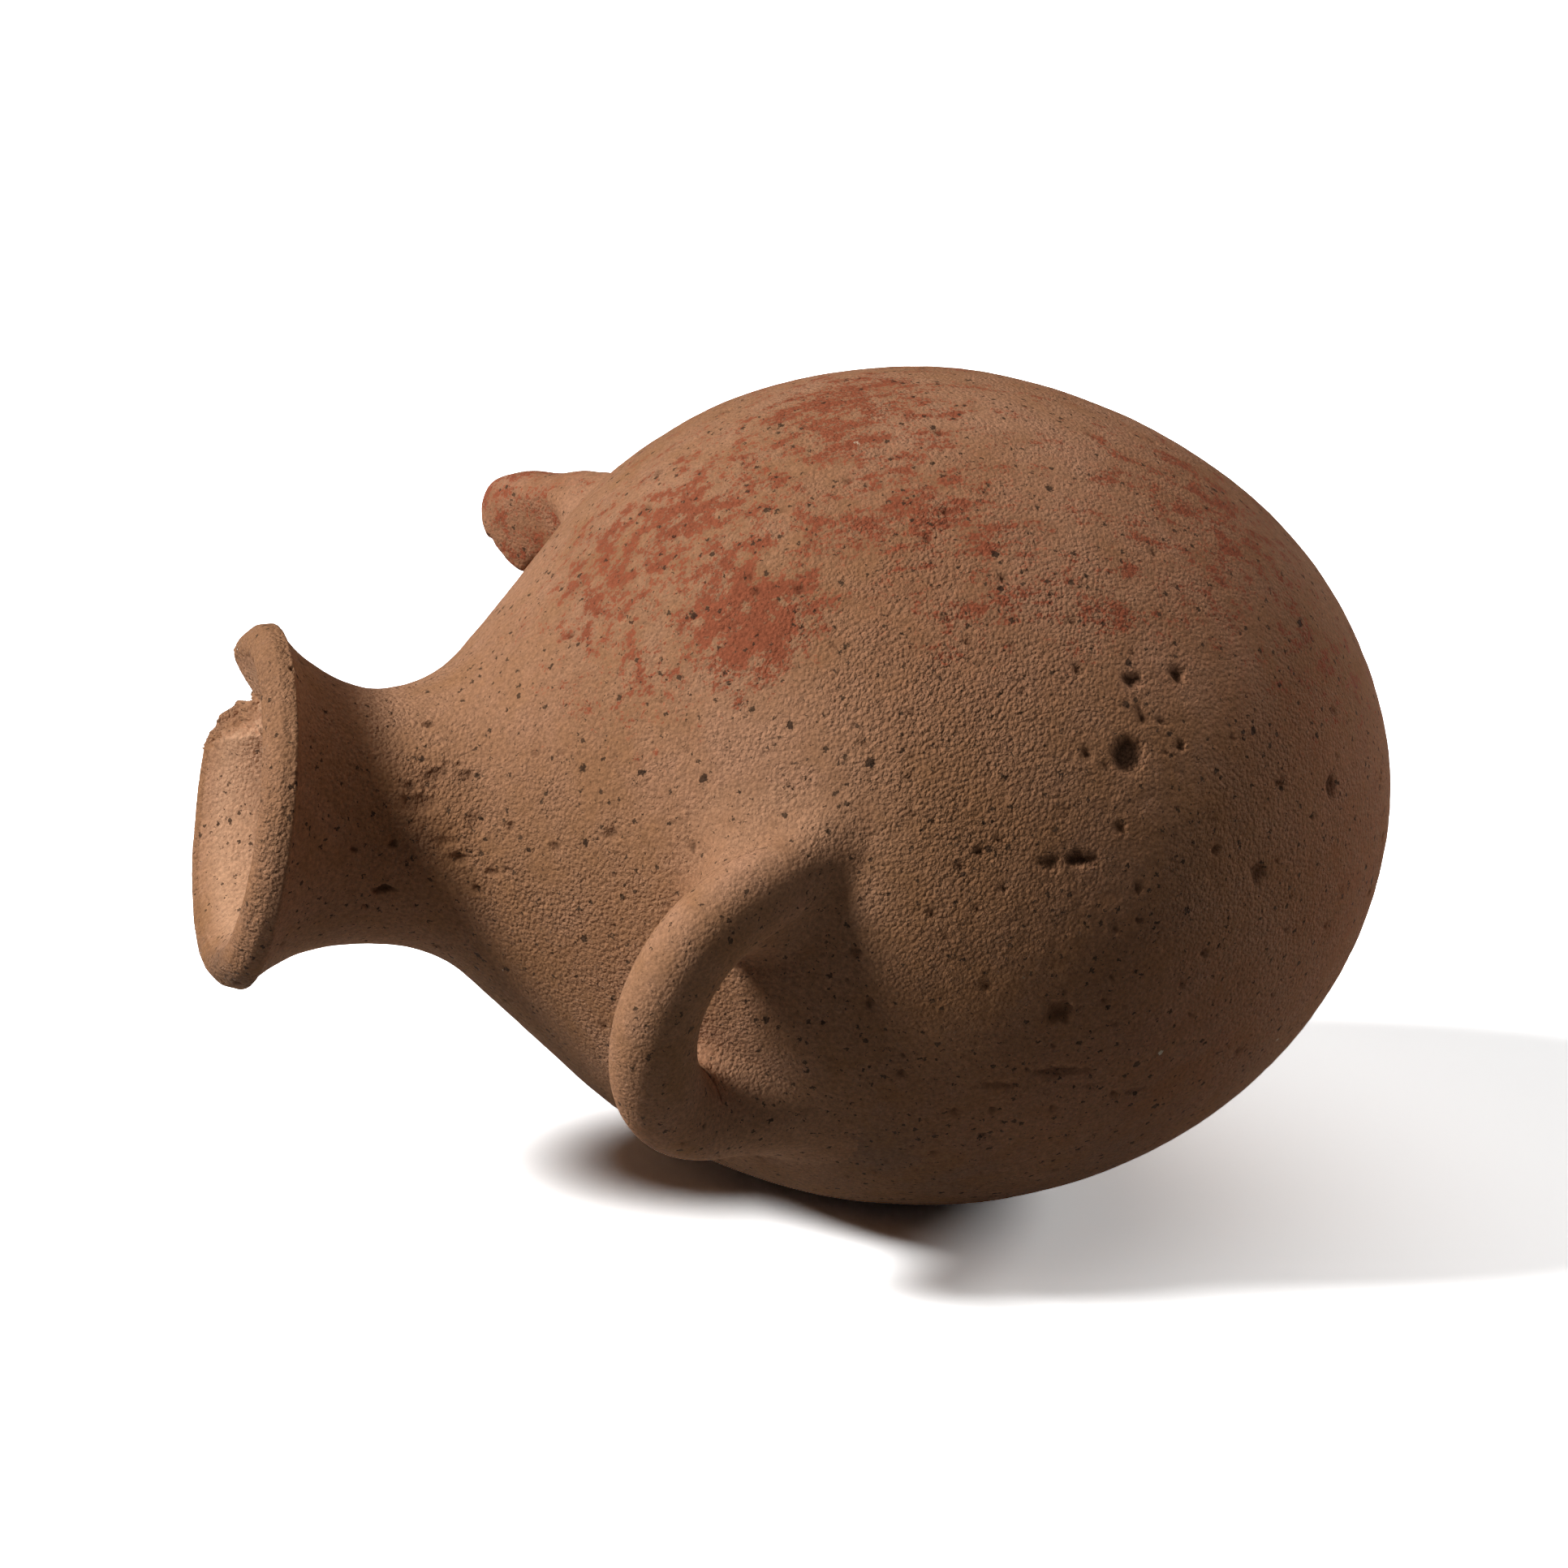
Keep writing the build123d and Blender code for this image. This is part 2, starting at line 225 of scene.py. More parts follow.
def dent_depth(stations, turns):
    """How far the potter's hand pressed the wall in, at stations on the axis and turns round it."""
    total = 0
    # Station, turn in degrees, length, width in degrees and depth.
    for dent_x, dent_turn, dent_long, dent_wide, dent_deep in (
        (-80, 109, 13, 40, 2.2),
        (45, 109, 28, 45, 1.7),
    ):
        off_turn = np.degrees(np.angle(np.exp(1j * (turns - radians(dent_turn)))))
        fall = ((stations - dent_x) / dent_long) ** 2 + (off_turn / dent_wide) ** 2
        total = total + dent_deep * np.exp(-0.5 * fall)
    return total


wall_points -= wall_out * (dent_depth(station, turn) * body_side)[..., None]

# Lost grit, scars and gouges: place, half length along the flask, half width, depth and how dark
# they are painted, as painted shade in the hollow. The one painted fully dark still holds its black stone.
wounds = (
    (11.0, -66.1, 99.3, 3.1, 3.1, 1.7, 1.0),
    (20.8, -58.3, 110.5, 1.2, 1.3, 0.9, 0.8),
    (12.5, -60.4, 110.0, 1.8, 1.0, 0.9, 0.8),
    (53.0, -52.3, 89.2, 1.2, 2.0, 0.9, 0.7),
    (2.8, -71.4, 83.5, 2.6, 1.2, 1.0, 0.8),
    (-2.0, -71.2, 83.0, 1.8, 1.2, 0.7, 0.7),
    (36.7, -64.3, 78.7, 1.5, 2.0, 0.8, 0.5),
    (2.6, -70.9, 57.7, 2.4, 2.2, 1.2, 0.6),
    (-36.3, -64.0, 79.0, 2.0, 2.6, 0.9, 0.8),
    (-92.6, -20.8, 75.7, 3.6, 1.6, 0.7, 0.15),
    (-90.0, -19.0, 80.0, 2.6, 1.4, 0.7, 0.3),
    (-88.0, -23.0, 70.0, 3.0, 1.2, 0.5, 0.1),
    (-84.0, -25.0, 74.0, 2.4, 1.5, 0.5, 0.1),
    (-86.5, -24.5, 67.5, 2.0, 1.0, 0.8, 0.3),
    (-82.0, -27.8, 66.0, 2.2, 0.9, 0.7, 0.3),
    (-94.5, -19.5, 78.5, 1.6, 1.2, 0.9, 0.5),
    (-86.0, -21.5, 80.5, 1.8, 1.0, 0.8, 0.4),
    (-97.8, -21.1, 61.0, 2.2, 0.8, 1.0, 0.9),
    (-35.6, -64.9, 77.4, 1.4, 2.0, 1.6, 0.7),
    (-33.6, -64.9, 80.6, 1.2, 1.8, 1.0, 0.6),
    (-29.5, -55.2, 32.9, 5.0, 0.8, 0.9, 0.7),
    (4.5, -67.3, 45.7, 6.0, 0.9, 0.8, 0.4),
    (-4.0, -66.5, 43.0, 4.0, 0.8, 0.6, 0.4),
    (12.0, -66.0, 42.0, 5.0, 0.8, 0.6, 0.4),
    (22.0, -63.0, 40.0, 3.5, 0.8, 0.6, 0.4),
)
stone_high, stone_wide = 0.6, 0.7
wound_mark = np.zeros(station.shape)
uneven = ripples(wall_points, 2.4, 11)
for x, y, z, half_long, half_wide, deep, shade_and_stone in wounds:
    off = wall_points - (x, y, z)
    across = np.hypot(off[..., 1], off[..., 2])
    far = np.hypot(off[..., 0] / half_long, across / half_wide)
    has_stone = shade_and_stone == 1.0
    edge_rough, steepness = (0.05, 1.0) if has_stone else (0.16, 0.7)
    far *= 1 + edge_rough * uneven
    scar = np.clip(1 - far**2, 0, 1) ** steepness * body_side
    stone = has_stone * stone_high * np.clip(1 - (far / stone_wide) ** 2, 0, 1)
    wall_points -= wall_out * (deep * (scar - stone))[..., None]
    # Each scar is painted dark by its strength: painted shade in the hollow, and the black stone in the
    # largest.
    wound_mark = np.maximum(wound_mark, np.clip(scar * 1.4, 0, 1) * shade_and_stone)

# Where the face is worn to the grit, where slip has held, and where soil has stained it. Each
# spot is a place, a size and a strength.
ground_wear = 0.3
worn_spots = (
    (-14.7, -69, 88, 24, 0.75),
    (3.0, -71, 79, 22, 0.8),
    (-22, -69, 71, 20, 0.7),
    (2.6, -70, 55, 24, 0.5),
    (-20, -60, 40, 24, 0.45),
    (25, -60, 50, 26, 0.35),
    (-92, -21, 74, 9, 0.9),
    (-80, -28, 62, 16, 0.45),
    (-66, -40, 60, 18, 0.4),
)
front_lower_foot = (-42.4, -46.7, 31.1)
front_upper_foot = (-42.4, -61.4, 80.7)
rear_upper_foot = (-45.0, 50.96, 104.7)
rear_lower_foot = (-45.0, 59.9, 62.65)
feet = (front_lower_foot, front_upper_foot, rear_upper_foot, rear_lower_foot)


def worn_at(points):
    """How far the outer face is worn; round each handle foot it was smoothed with a finger."""
    total = ground_wear + spot_mask(points, worn_spots)
    for foot in feet:
        away = np.linalg.norm(points - foot, axis=-1)
        total = total * (0.35 + 0.65 * np.clip((away - 12) / 16, 0, 1))
    return total


lip_wear, throat_wear, inside_wear = 0.7, 0.1, 0.4
lip_rows = (row_run < lip_run + 2)[:, None]
on_lip = np.clip((-station - 114) / 2, 0, 1)
worn = np.where(lip_rows, np.maximum(worn_at(wall_points), lip_wear * on_lip), throat_wear)
worn = np.clip(worn, 0, 1) * np.where(outside > 0, 1, inside_wear)
upper_slip = 0.34
upper = np.clip((np.sin(turn)[None, :] - 0.12) / 0.55, 0, 1) * np.clip((station + 96) / 30, 0, 1)
slip = upper_slip * upper + spot_mask(wall_points, (
    (-45.8, -43.2, 113.4, 10, 0.26),
    (-40, -35, 120, 13, 0.15),
    (-16.1, -56.4, 115, 9, 0.18),
    (-8, -50, 122, 9, 0.15),
    (-19.2, -39.4, 130.2, 11, 0.17),
    (6.7, -57.4, 115.5, 9, 0.17),
    (53.5, -48.1, 97.6, 18, 0.14),
    (35.6, -31.6, 128.9, 20, 0.13),
    (-22.2, -8.9, 141.1, 16, 0.18),
    (-50, -20, 122, 16, 0.17),
    (-62, -14, 112, 13, 0.17),
    (-75.3, -6.5, 103.4, 9, 0.13),
    (-70, -30, 88, 12, 0.14),
    (-58, -44, 92, 14, 0.16),
    (60, -40, 70, 18, 0.09),
    (0, 40, 128, 30, 0.13),
    (-40, 50, 100, 25, 0.10),
    (40, 50, 90, 30, 0.10),
))
slip = np.clip(slip - 0.25 * np.clip(worn - 0.4, 0, 1), 0, 1) * outside
washed = 0.3 * slip + spot_mask(wall_points, (
    (60, -38, 72, 26, 0.55),
    (52, -48, 98, 18, 0.40),
    (36, -32, 128, 24, 0.35),
    (34, -56, 46, 22, 0.40),
    (10, -60, 36, 20, 0.25),
    (-14, -40, 131, 20, 0.25),
    (30, 40, 100, 45, 0.40),
)) * outside
soil = spot_mask(wall_points, (
    (-19.6, -53.3, 26, 7, 0.7),
    (-6, -50, 20, 8, 0.5),
    (24, -52, 28, 9, 0.4),
    (45, -45, 40, 9, 0.3),
    (-120.3, -14, 41.5, 5, 0.8),
    (-105, -24, 52, 6, 0.35),
    (-30, 0, 4, 30, 0.4),
)) * outside

# Round each handle foot the face was smoothed with the foot, so it keeps no lumps there. Toward
# the poles of the base they fade out, and inside they are weaker.
smooth_reaches = (20, 20, 26, 20)
lump_share = np.ones(station.shape)
for foot, smooth_reach in zip(feet, smooth_reaches):
    away = np.linalg.norm(wall_points - foot, axis=-1)
    lump_share *= np.clip((away - smooth_reach) / 14, 0, 1)
lump_share *= np.where(outside > 0, np.clip(row_r / 12, 0, 1)[:, None], 0.3)


def colour(text):
    """A colour written as sRGB hex, as the linear values that a socket takes."""
    values = [int(text[k:k + 2], 16) / 255 for k in (1, 3, 5)]
    linear = [v / 12.92 if v <= 0.04045 else ((v + 0.055) / 1.055) ** 2.4 for v in values]
    return (*linear, 1.0)


def add(tree, kind, inputs=(), **settings):
    """Adds a node, sets its properties and fills its sockets with values or links."""
    made = tree.nodes.new(kind)
    for name, value in settings.items():
        setattr(made, name, value)
    for key, value in dict(inputs).items():
        if isinstance(value, bpy.types.Node):
            value = value.outputs[0]
        if isinstance(value, bpy.types.NodeSocket):
            tree.links.new(value, made.inputs[key])
        else:
            made.inputs[key].default_value = value
    return made


# Fired earthenware with worn red slip: a matt, mottled tan face with rust-red remnants, dark and pale grit,
# pits painted dark brown as painted shade, grey soil and a paler inside of the mouth painted as light; it
# gives the eye a dry, sandy surface with no shine.
def fired_clay(name, light, brown, slip_hex, slip_bias):
    """The clay's finish; the luting differs only in its colours and in how little slip it holds."""
    made = bpy.data.materials.new(name)
    made.use_nodes = True
    tree = made.node_tree
    tree.nodes.clear()
    place = add(tree, "ShaderNodeTexCoord").outputs["Object"]
    slip_kept, washed, worn_face, soiled, pit_shade_mask, painted_mouth_light, stroke = (
        add(tree, "ShaderNodeAttribute", attribute_name=text)
        for text in ("slip", "washed", "worn", "soil", "pit", "painted_mouth_light", "stroke")
    )
    # Clouds of lighter and browner clay, about 28 mm and 7 mm across.
    clouds = add(tree, "ShaderNodeTexNoise", {"Vector": place, "Scale": 36.0, "Detail": 3.0})
    mottle = add(tree, "ShaderNodeTexNoise", {"Vector": place, "Scale": 140.0, "Detail": 4.0,
                                             "Roughness": 0.62})
    blend = add(tree, "ShaderNodeMath", {0: clouds, 1: mottle}, operation="ADD")
    blend = add(tree, "ShaderNodeMapRange", {0: blend, 1: 0.75, 2: 1.25, 3: 0.0, 4: 1.0})
    clay = add(tree, "ShaderNodeMix", {"Factor": blend, 6: colour(brown), 7: colour(light)},
               data_type="RGBA")
    worn_share = add(tree, "ShaderNodeMath", {0: worn_face.outputs["Fac"], 1: 0.5}, operation="MULTIPLY")
    # Slip: a thin wash, and remnants in streaks about 2.5 mm wide and 14 mm long, broken up by
    # flakes of 1 to 4 mm and by the clay's own flecks of about 0.7 mm.
    fleck = add(tree, "ShaderNodeTexNoise", {"Vector": place, "Scale": 1400.0, "Detail": 3.0,
                                            "Roughness": 0.7})
    rubbed = add(tree, "ShaderNodeVectorMath", {0: stroke.outputs["Vector"], 1: (70.0, 400.0, 400.0)},
                 operation="MULTIPLY")
    streaks = add(tree, "ShaderNodeTexNoise", {"Vector": rubbed, "Scale": 1.0, "Detail": 4.0,
                                              "Roughness": 0.62})
    flakes = add(tree, "ShaderNodeTexNoise", {"Vector": place, "Scale": 260.0, "Detail": 5.0,
                                             "Roughness": 0.68})
    held = add(tree, "ShaderNodeMath", {0: streaks, 1: 0.5, 2: slip_kept.outputs["Fac"]},
               operation="MULTIPLY_ADD")
    held = add(tree, "ShaderNodeMath", {0: flakes, 1: 0.55, 2: held}, operation="MULTIPLY_ADD")
    held = add(tree, "ShaderNodeMath", {0: fleck, 1: 0.5, 2: held}, operation="MULTIPLY_ADD")
    slip_mask = add(tree, "ShaderNodeMapRange",
                    {0: held, 1: 1.22 + slip_bias, 2: 1.30 + slip_bias, 3: 0.0, 4: 0.9},
                    interpolation_type="SMOOTHSTEP")
    thin = add(tree, "ShaderNodeMath", {0: flakes, 1: fleck}, operation="ADD")
    thin = add(tree, "ShaderNodeMapRange", {0: thin, 1: 0.7, 2: 1.3, 3: 0.3, 4: 1.0})
    wash = add(tree, "ShaderNodeMath", {0: washed.outputs["Fac"], 1: thin}, operation="MULTIPLY")
    # Worn ground is browner and darker, slip lies on it as a wash and as remnants, and the inside
    # of the mouth is painted paler: painted light, where the lamp at the mouth's side shines in.
    for mask, tint in ((worn_share, "#8C5F3B"), (wash, slip_hex), (slip_mask, slip_hex),
                       (painted_mouth_light.outputs["Fac"], "#D2A482")):
        clay = add(tree, "ShaderNodeMix", {"Factor": mask, 6: clay.outputs[2], 7: colour(tint)},
                   data_type="RGBA")
    # Flecks: the clay's own grains, a little lighter and darker.
    speckle = add(tree, "ShaderNodeMapRange", {0: fleck, 1: 0.25, 2: 0.75, 3: 0.66, 4: 1.32})
    clay = add(tree, "ShaderNodeVectorMath", {0: clay.outputs[2], "Scale": speckle}, operation="SCALE")
    # Grit: dark brown and black grains of 0.1 to 1.8 mm in packings of 0.7, 1.4 and 4 mm, their
    # outlines pushed about by 0.7 mm so that none is round; a few grains are pale.
    astray = add(tree, "ShaderNodeTexNoise", {"Vector": place, "Scale": 1900.0, "Detail": 2.0})
    astray = add(tree, "ShaderNodeVectorMath",
                 {0: astray.outputs["Color"], 1: (0.0014, 0.0014, 0.0014), 2: place},
                 operation="MULTIPLY_ADD")
    clay_now = clay.outputs[0]
    grit_masks = []
    for packing, share, least, more, tint in (
        (1400.0, 0.60, 0.08, 0.24, "#4B3A2D"),
        (700.0, 0.75, 0.07, 0.30, "#413226"),
        (260.0, 0.38, 0.05, 0.18, "#2E231C"),
        (250.0, 0.015, 0.05, 0.12, "#D9C4A6"),
    ):
        grit = add(tree, "ShaderNodeTexVoronoi", {"Vector": astray, "Scale": packing})
        grain = add(tree, "ShaderNodeSeparateColor", {0: grit.outputs["Color"]})
        rare = add(tree, "ShaderNodeMath", {0: grain.outputs[1], 1: 2.5}, operation="POWER")
        size = add(tree, "ShaderNodeMath", {0: rare, 1: more, 2: least}, operation="MULTIPLY_ADD")
        edge = add(tree, "ShaderNodeMath", {0: size, 1: grit.outputs["Distance"]}, operation="SUBTRACT")
        inside = add(tree, "ShaderNodeMapRange", {0: edge, 1: 0.0, 2: 0.05, 3: 0.0, 4: 0.85})
        picked = add(tree, "ShaderNodeMath", {0: grain.outputs[0], 1: share}, operation="LESS_THAN")
        shown = add(tree, "ShaderNodeMath", {0: picked, 1: inside}, operation="MULTIPLY")
        clay = add(tree, "ShaderNodeMix", {"Factor": shown, 6: clay_now, 7: colour(tint)},
                   data_type="RGBA")
        clay_now = clay.outputs[2]
        grit_masks.append(shown)
    # Pits and scars are painted dark brown: painted shade, and in the largest hole its black stone; soil is
    # grey.
    painted_pit_shade = add(tree, "ShaderNodeMath", {0: pit_shade_mask.outputs["Fac"], 1: 0.9}, operation="MULTIPLY")
    stain = add(tree, "ShaderNodeMath", {0: soiled.outputs["Fac"], 1: mottle}, operation="MULTIPLY")
    for mask, tint in ((painted_pit_shade, "#3C281B"), (stain, "#4F4840")):
        clay = add(tree, "ShaderNodeMix", {"Factor": mask, 6: clay.outputs[2], 7: colour(tint)},
                   data_type="RGBA")
    dull = add(tree, "ShaderNodeMapRange", {0: slip_mask, 1: 0.0, 2: 1.0, 3: 0.88, 4: 0.70})
    # Sandy tooth: packed grains of 0.7 mm with finer sand of about 0.5 mm on them, and a hole
    # for each of the coarse black grains.
    coarse_holes = grit_masks[2]
    packed = add(tree, "ShaderNodeTexVoronoi", {"Vector": place, "Scale": 1400.0})
    sand = add(tree, "ShaderNodeTexNoise", {"Vector": place, "Scale": 2000.0, "Detail": 2.0,
                                           "Roughness": 0.75})
    tooth = add(tree, "ShaderNodeMath", {0: packed, 1: -0.75, 2: sand}, operation="MULTIPLY_ADD")
    tooth = add(tree, "ShaderNodeMath", {0: coarse_holes, 1: -0.5, 2: tooth}, operation="MULTIPLY_ADD")
    depth = add(tree, "ShaderNodeMapRange", {0: worn_face.outputs["Fac"], 1: 0.0, 2: 1.0, 3: 0.4, 4: 1.0})
    patchy = add(tree, "ShaderNodeMapRange", {0: mottle, 1: 0.3, 2: 0.7, 3: 0.45, 4: 1.3})
    depth = add(tree, "ShaderNodeMath", {0: depth, 1: patchy}, operation="MULTIPLY")
    bump = add(tree, "ShaderNodeBump", {"Strength": depth, "Distance": 0.0007, "Height": tooth})
    surface = add(tree, "ShaderNodeBsdfPrincipled",
                  {"Base Color": clay.outputs[2], "Roughness": dull, "Normal": bump,
                   "Specular IOR Level": 0.06})
    add(tree, "ShaderNodeOutputMaterial", {"Surface": surface})
    return made


red_slip = "#944E35"
earthenware = fired_clay("fired earthenware with worn red slip", "#BE8F70", "#A67A58", red_slip, 0.0)

# The rule that ages the clay's face: lumps from the hand, scraping strokes along the flask, grain
# and lost grit, all pushed along the outward direction stored on the points.
weather = bpy.data.node_groups.new("weathered clay", "GeometryNodeTree")
weather.interface.new_socket("Geometry", in_out="INPUT", socket_type="NodeSocketGeometry")
for name, kind in (("Lump height", "Float"), ("Stroke height", "Float"), ("Grain height", "Float"),
                   ("Pit depth", "Float"), ("Seed", "Float"), ("Finish", "Material")):
    weather.interface.new_socket(name, in_out="INPUT", socket_type="NodeSocket" + kind)
weather.interface.new_socket("Geometry", in_out="OUTPUT", socket_type="NodeSocketGeometry")
given = add(weather, "NodeGroupInput")
outward, strokes_at, bare, lumpy = (
    add(weather, "GeometryNodeInputNamedAttribute", {"Name": name}, data_type=kind)
    for name, kind in (("outward", "FLOAT_VECTOR"), ("stroke", "FLOAT_VECTOR"), ("worn", "FLOAT"),
                       ("skin", "FLOAT"))
)
moved = add(weather, "ShaderNodeCombineXYZ", {"X": given.outputs["Seed"]})
spot = add(weather, "ShaderNodeVectorMath", {0: add(weather, "GeometryNodeInputPosition"), 1: moved},
           operation="ADD")
# Lumps about 45 mm across with smaller ones, down to 3 mm, on them.
lumps = add(weather, "ShaderNodeTexNoise", {"Vector": spot, "Scale": 22.0, "Detail": 4.0,
                                           "Roughness": 0.52})
lumps = add(weather, "ShaderNodeMapRange", {0: lumps, 1: 0.0, 2: 1.0, 3: -2.0, 4: 2.0})
lumps = add(weather, "ShaderNodeMath", {0: lumps, 1: given.outputs["Lump height"]}, operation="MULTIPLY")
lumps = add(weather, "ShaderNodeMath", {0: lumps, 1: lumpy}, operation="MULTIPLY")
# Scraping strokes about 2.5 mm wide and 30 mm long.
along = add(weather, "ShaderNodeVectorMath", {0: strokes_at, 1: (33.0, 400.0, 400.0)},
            operation="MULTIPLY")
scraped = add(weather, "ShaderNodeTexNoise", {"Vector": along, "Scale": 1.0, "Detail": 2.0})
scraped = add(weather, "ShaderNodeMapRange", {0: scraped, 1: 0.0, 2: 1.0, 3: -2.0, 4: 2.0})
scraped = add(weather, "ShaderNodeMath", {0: scraped, 1: given.outputs["Stroke height"]},
              operation="MULTIPLY")
# Grains packed 2 mm apart, four times as high where the face is worn.
grains = add(weather, "ShaderNodeTexVoronoi", {"Vector": spot, "Scale": 500.0})
grains = add(weather, "ShaderNodeMapRange", {0: grains, 1: 0.0, 2: 1.0, 3: 1.2, 4: -1.2})
grown = add(weather, "ShaderNodeMapRange", {0: bare, 1: 0.1, 2: 1.0, 3: 0.35, 4: 1.4})
grains = add(weather, "ShaderNodeMath", {0: grains, 1: given.outputs["Grain height"]},
             operation="MULTIPLY")
grains = add(weather, "ShaderNodeMath", {0: grains, 1: grown}, operation="MULTIPLY")
# Lost grit: cells of 3.4 mm pushed about by 0.8 mm, few open on the smooth face, many where worn.
bent_spot = add(weather, "ShaderNodeTexNoise", {"Vector": spot, "Scale": 500.0, "Detail": 1.0})
bent_spot = add(weather, "ShaderNodeVectorMath",
                {0: bent_spot.outputs["Color"], 1: (0.0016, 0.0016, 0.0016), 2: spot},
                operation="MULTIPLY_ADD")
cells = add(weather, "ShaderNodeTexVoronoi", {"Vector": bent_spot, "Scale": 290.0})
cell = add(weather, "FunctionNodeSeparateColor", {0: cells.outputs["Color"]})
chance = add(weather, "ShaderNodeMapRange", {0: bare, 1: 0.15, 2: 1.0, 3: 0.05, 4: 0.5})
is_open = add(weather, "ShaderNodeMath", {0: cell.outputs[0], 1: chance}, operation="LESS_THAN")
wide = add(weather, "ShaderNodeMath", {0: cell.outputs[1], 1: 0.22, 2: 0.10}, operation="MULTIPLY_ADD")
core = add(weather, "ShaderNodeMath", {0: wide, 1: 0.35}, operation="MULTIPLY")
pit = add(weather, "ShaderNodeMapRange",
          {"Value": cells.outputs["Distance"], "From Min": wide, "From Max": core,
           "To Min": 0.0, "To Max": 1.0}, interpolation_type="SMOOTHSTEP")
pit = add(weather, "ShaderNodeMath", {0: pit, 1: is_open}, operation="MULTIPLY")
sunk = add(weather, "ShaderNodeMath", {0: pit, 1: given.outputs["Pit depth"]}, operation="MULTIPLY")
height = add(weather, "ShaderNodeMath", {0: lumps, 1: scraped}, operation="ADD")
height = add(weather, "ShaderNodeMath", {0: height, 1: grains}, operation="ADD")
height = add(weather, "ShaderNodeMath", {0: height, 1: sunk}, operation="SUBTRACT")
push = add(weather, "ShaderNodeVectorMath", {0: outward, "Scale": height}, operation="SCALE")
kept = add(weather, "GeometryNodeStoreNamedAttribute",
           {"Geometry": given.outputs["Geometry"], "Name": "pit", "Value": pit}, data_type="FLOAT")
aged = add(weather, "GeometryNodeSetPosition", {"Geometry": kept, "Offset": push})
aged = add(weather, "GeometryNodeRealizeInstances", {"Geometry": aged})
aged = add(weather, "GeometryNodeSetMaterial", {"Geometry": aged, "Material": given.outputs["Finish"]})
add(weather, "NodeGroupOutput", {"Geometry": aged})


def mesh_of(name, points, quads, tris=None):
    """A mesh with smooth faces, from points in metres and rows of point numbers."""
    made = bpy.data.meshes.new(name)
    tris = np.zeros((0, 3), int) if tris is None else tris
    corners = np.concatenate((quads.ravel(), tris.ravel()))
    starts = np.concatenate((np.arange(len(quads)) * 4, quads.size + np.arange(len(tris)) * 3))
    made.vertices.add(len(points))
    made.vertices.foreach_set("co", np.ascontiguousarray(points, np.float32).ravel())
    made.loops.add(len(corners))
    made.loops.foreach_set("vertex_index", corners.astype(np.int32))
    made.polygons.add(len(starts))
    made.polygons.foreach_set("loop_start", starts.astype(np.int32))
    made.update(calc_edges=True)
    made.shade_smooth()
    return made


def give(mesh, **values):
    """Stores values on the points of a mesh: outward and stroke are vectors, the rest numbers."""
    for name, data in values.items():
        is_vector = name in ("outward", "stroke")
        kind, field = ("FLOAT_VECTOR", "vector") if is_vector else ("FLOAT", "value")
        store = mesh.attributes.new(name, kind, "POINT")
        store.data.foreach_set(field, np.ascontiguousarray(data, np.float32).ravel())


def ring_quads(count, around, closed=False):
    """Faces between rows of points that each go once round; closed joins the last row to the first."""
    order = np.arange(count)
    first = order if closed else order[:-1]
    second = np.roll(order, -1) if closed else order[1:]
    j = np.arange(around)
    k = np.roll(j, -1)
    a = (first[:, None] * around + j).ravel()
    b = (first[:, None] * around + k).ravel()
    c = (second[:, None] * around + k).ravel()
    d = (second[:, None] * around + j).ravel()
    return np.column_stack((a, b, c, d))


def capped(points, count, around):
    """Closes the first and last row on a middle point each; gives all points and the triangles."""
    first = np.arange(around)
    last = first + (count - 1) * around
    full = np.vstack((points, points[first].mean(0), points[last].mean(0)))
    low, high = len(full) - 2, len(full) - 1
    tris = np.vstack((
        np.column_stack((first, np.full(around, low), np.roll(first, -1))),
        np.column_stack((np.roll(last, -1), np.full(around, high), last)),
    ))
    return full, tris


def aged_face(name, at, quads, finish, lump, scrape, grain, pit_deep, seed, **values):
    """Runs the ageing rule once on a passing mesh; gives points in metres, normals and pits."""
    mesh = mesh_of(name, at.reshape(-1, 3) * mm, quads)
    give(mesh, **values)
    passing = bpy.data.objects.new(name, mesh)
    bpy.context.scene.collection.objects.link(passing)
    rule = passing.modifiers.new("ageing", "NODES")
    rule.node_group = weather
    settings = {
        "Lump height": lump * mm, "Stroke height": scrape * mm, "Grain height": grain * mm,
        "Pit depth": pit_deep * mm, "Seed": seed, "Finish": finish,
    }
    for item in weather.interface.items_tree:
        if item.name in settings:
            rule[item.identifier] = settings[item.name]
    depsgraph = bpy.context.evaluated_depsgraph_get()
    result = bpy.data.meshes.new_from_object(passing.evaluated_get(depsgraph), depsgraph=depsgraph)
    found = np.empty(len(result.vertices) * 3, np.float32)
    result.vertices.foreach_get("co", found)
    facing = np.empty(len(result.vertices) * 3, np.float32)
    result.vertex_normals.foreach_get("vector", facing)
    pits = np.empty(len(result.vertices), np.float32)
    result.attributes["pit"].data.foreach_get("value", pits)
    bpy.data.objects.remove(passing)
    bpy.data.meshes.remove(mesh)
    bpy.data.meshes.remove(result)
    return found.reshape(-1, 3).astype(float), facing.reshape(-1, 3), pits


wall_stroke = np.stack((np.repeat(row_run[:, None], columns, axis=1), radius * round_cos,
                        radius * round_sin), axis=-1) * mm
skin_at, skin_facing, skin_pit = aged_face(
    "wall face", wall_points, ring_quads(rows, columns), earthenware,
    lump=0.32, scrape=0.04, grain=0.045, pit_deep=0.7, seed=0.0,
    outward=wall_out, stroke=wall_stroke, worn=worn, skin=lump_share,
)
# Nothing of the face goes under the floor or past the flask's length.
base_margin = 0.02
skin_at[:, 2] = np.maximum(skin_at[:, 2], 0)
skin_at[:, 0] = np.minimum(skin_at[:, 0], (half_length - base_margin) * mm)
# Pits are painted dark along their carved hollows: painted shade.
pit_shade_strength, mouth_light_strength = 0.62, 0.7
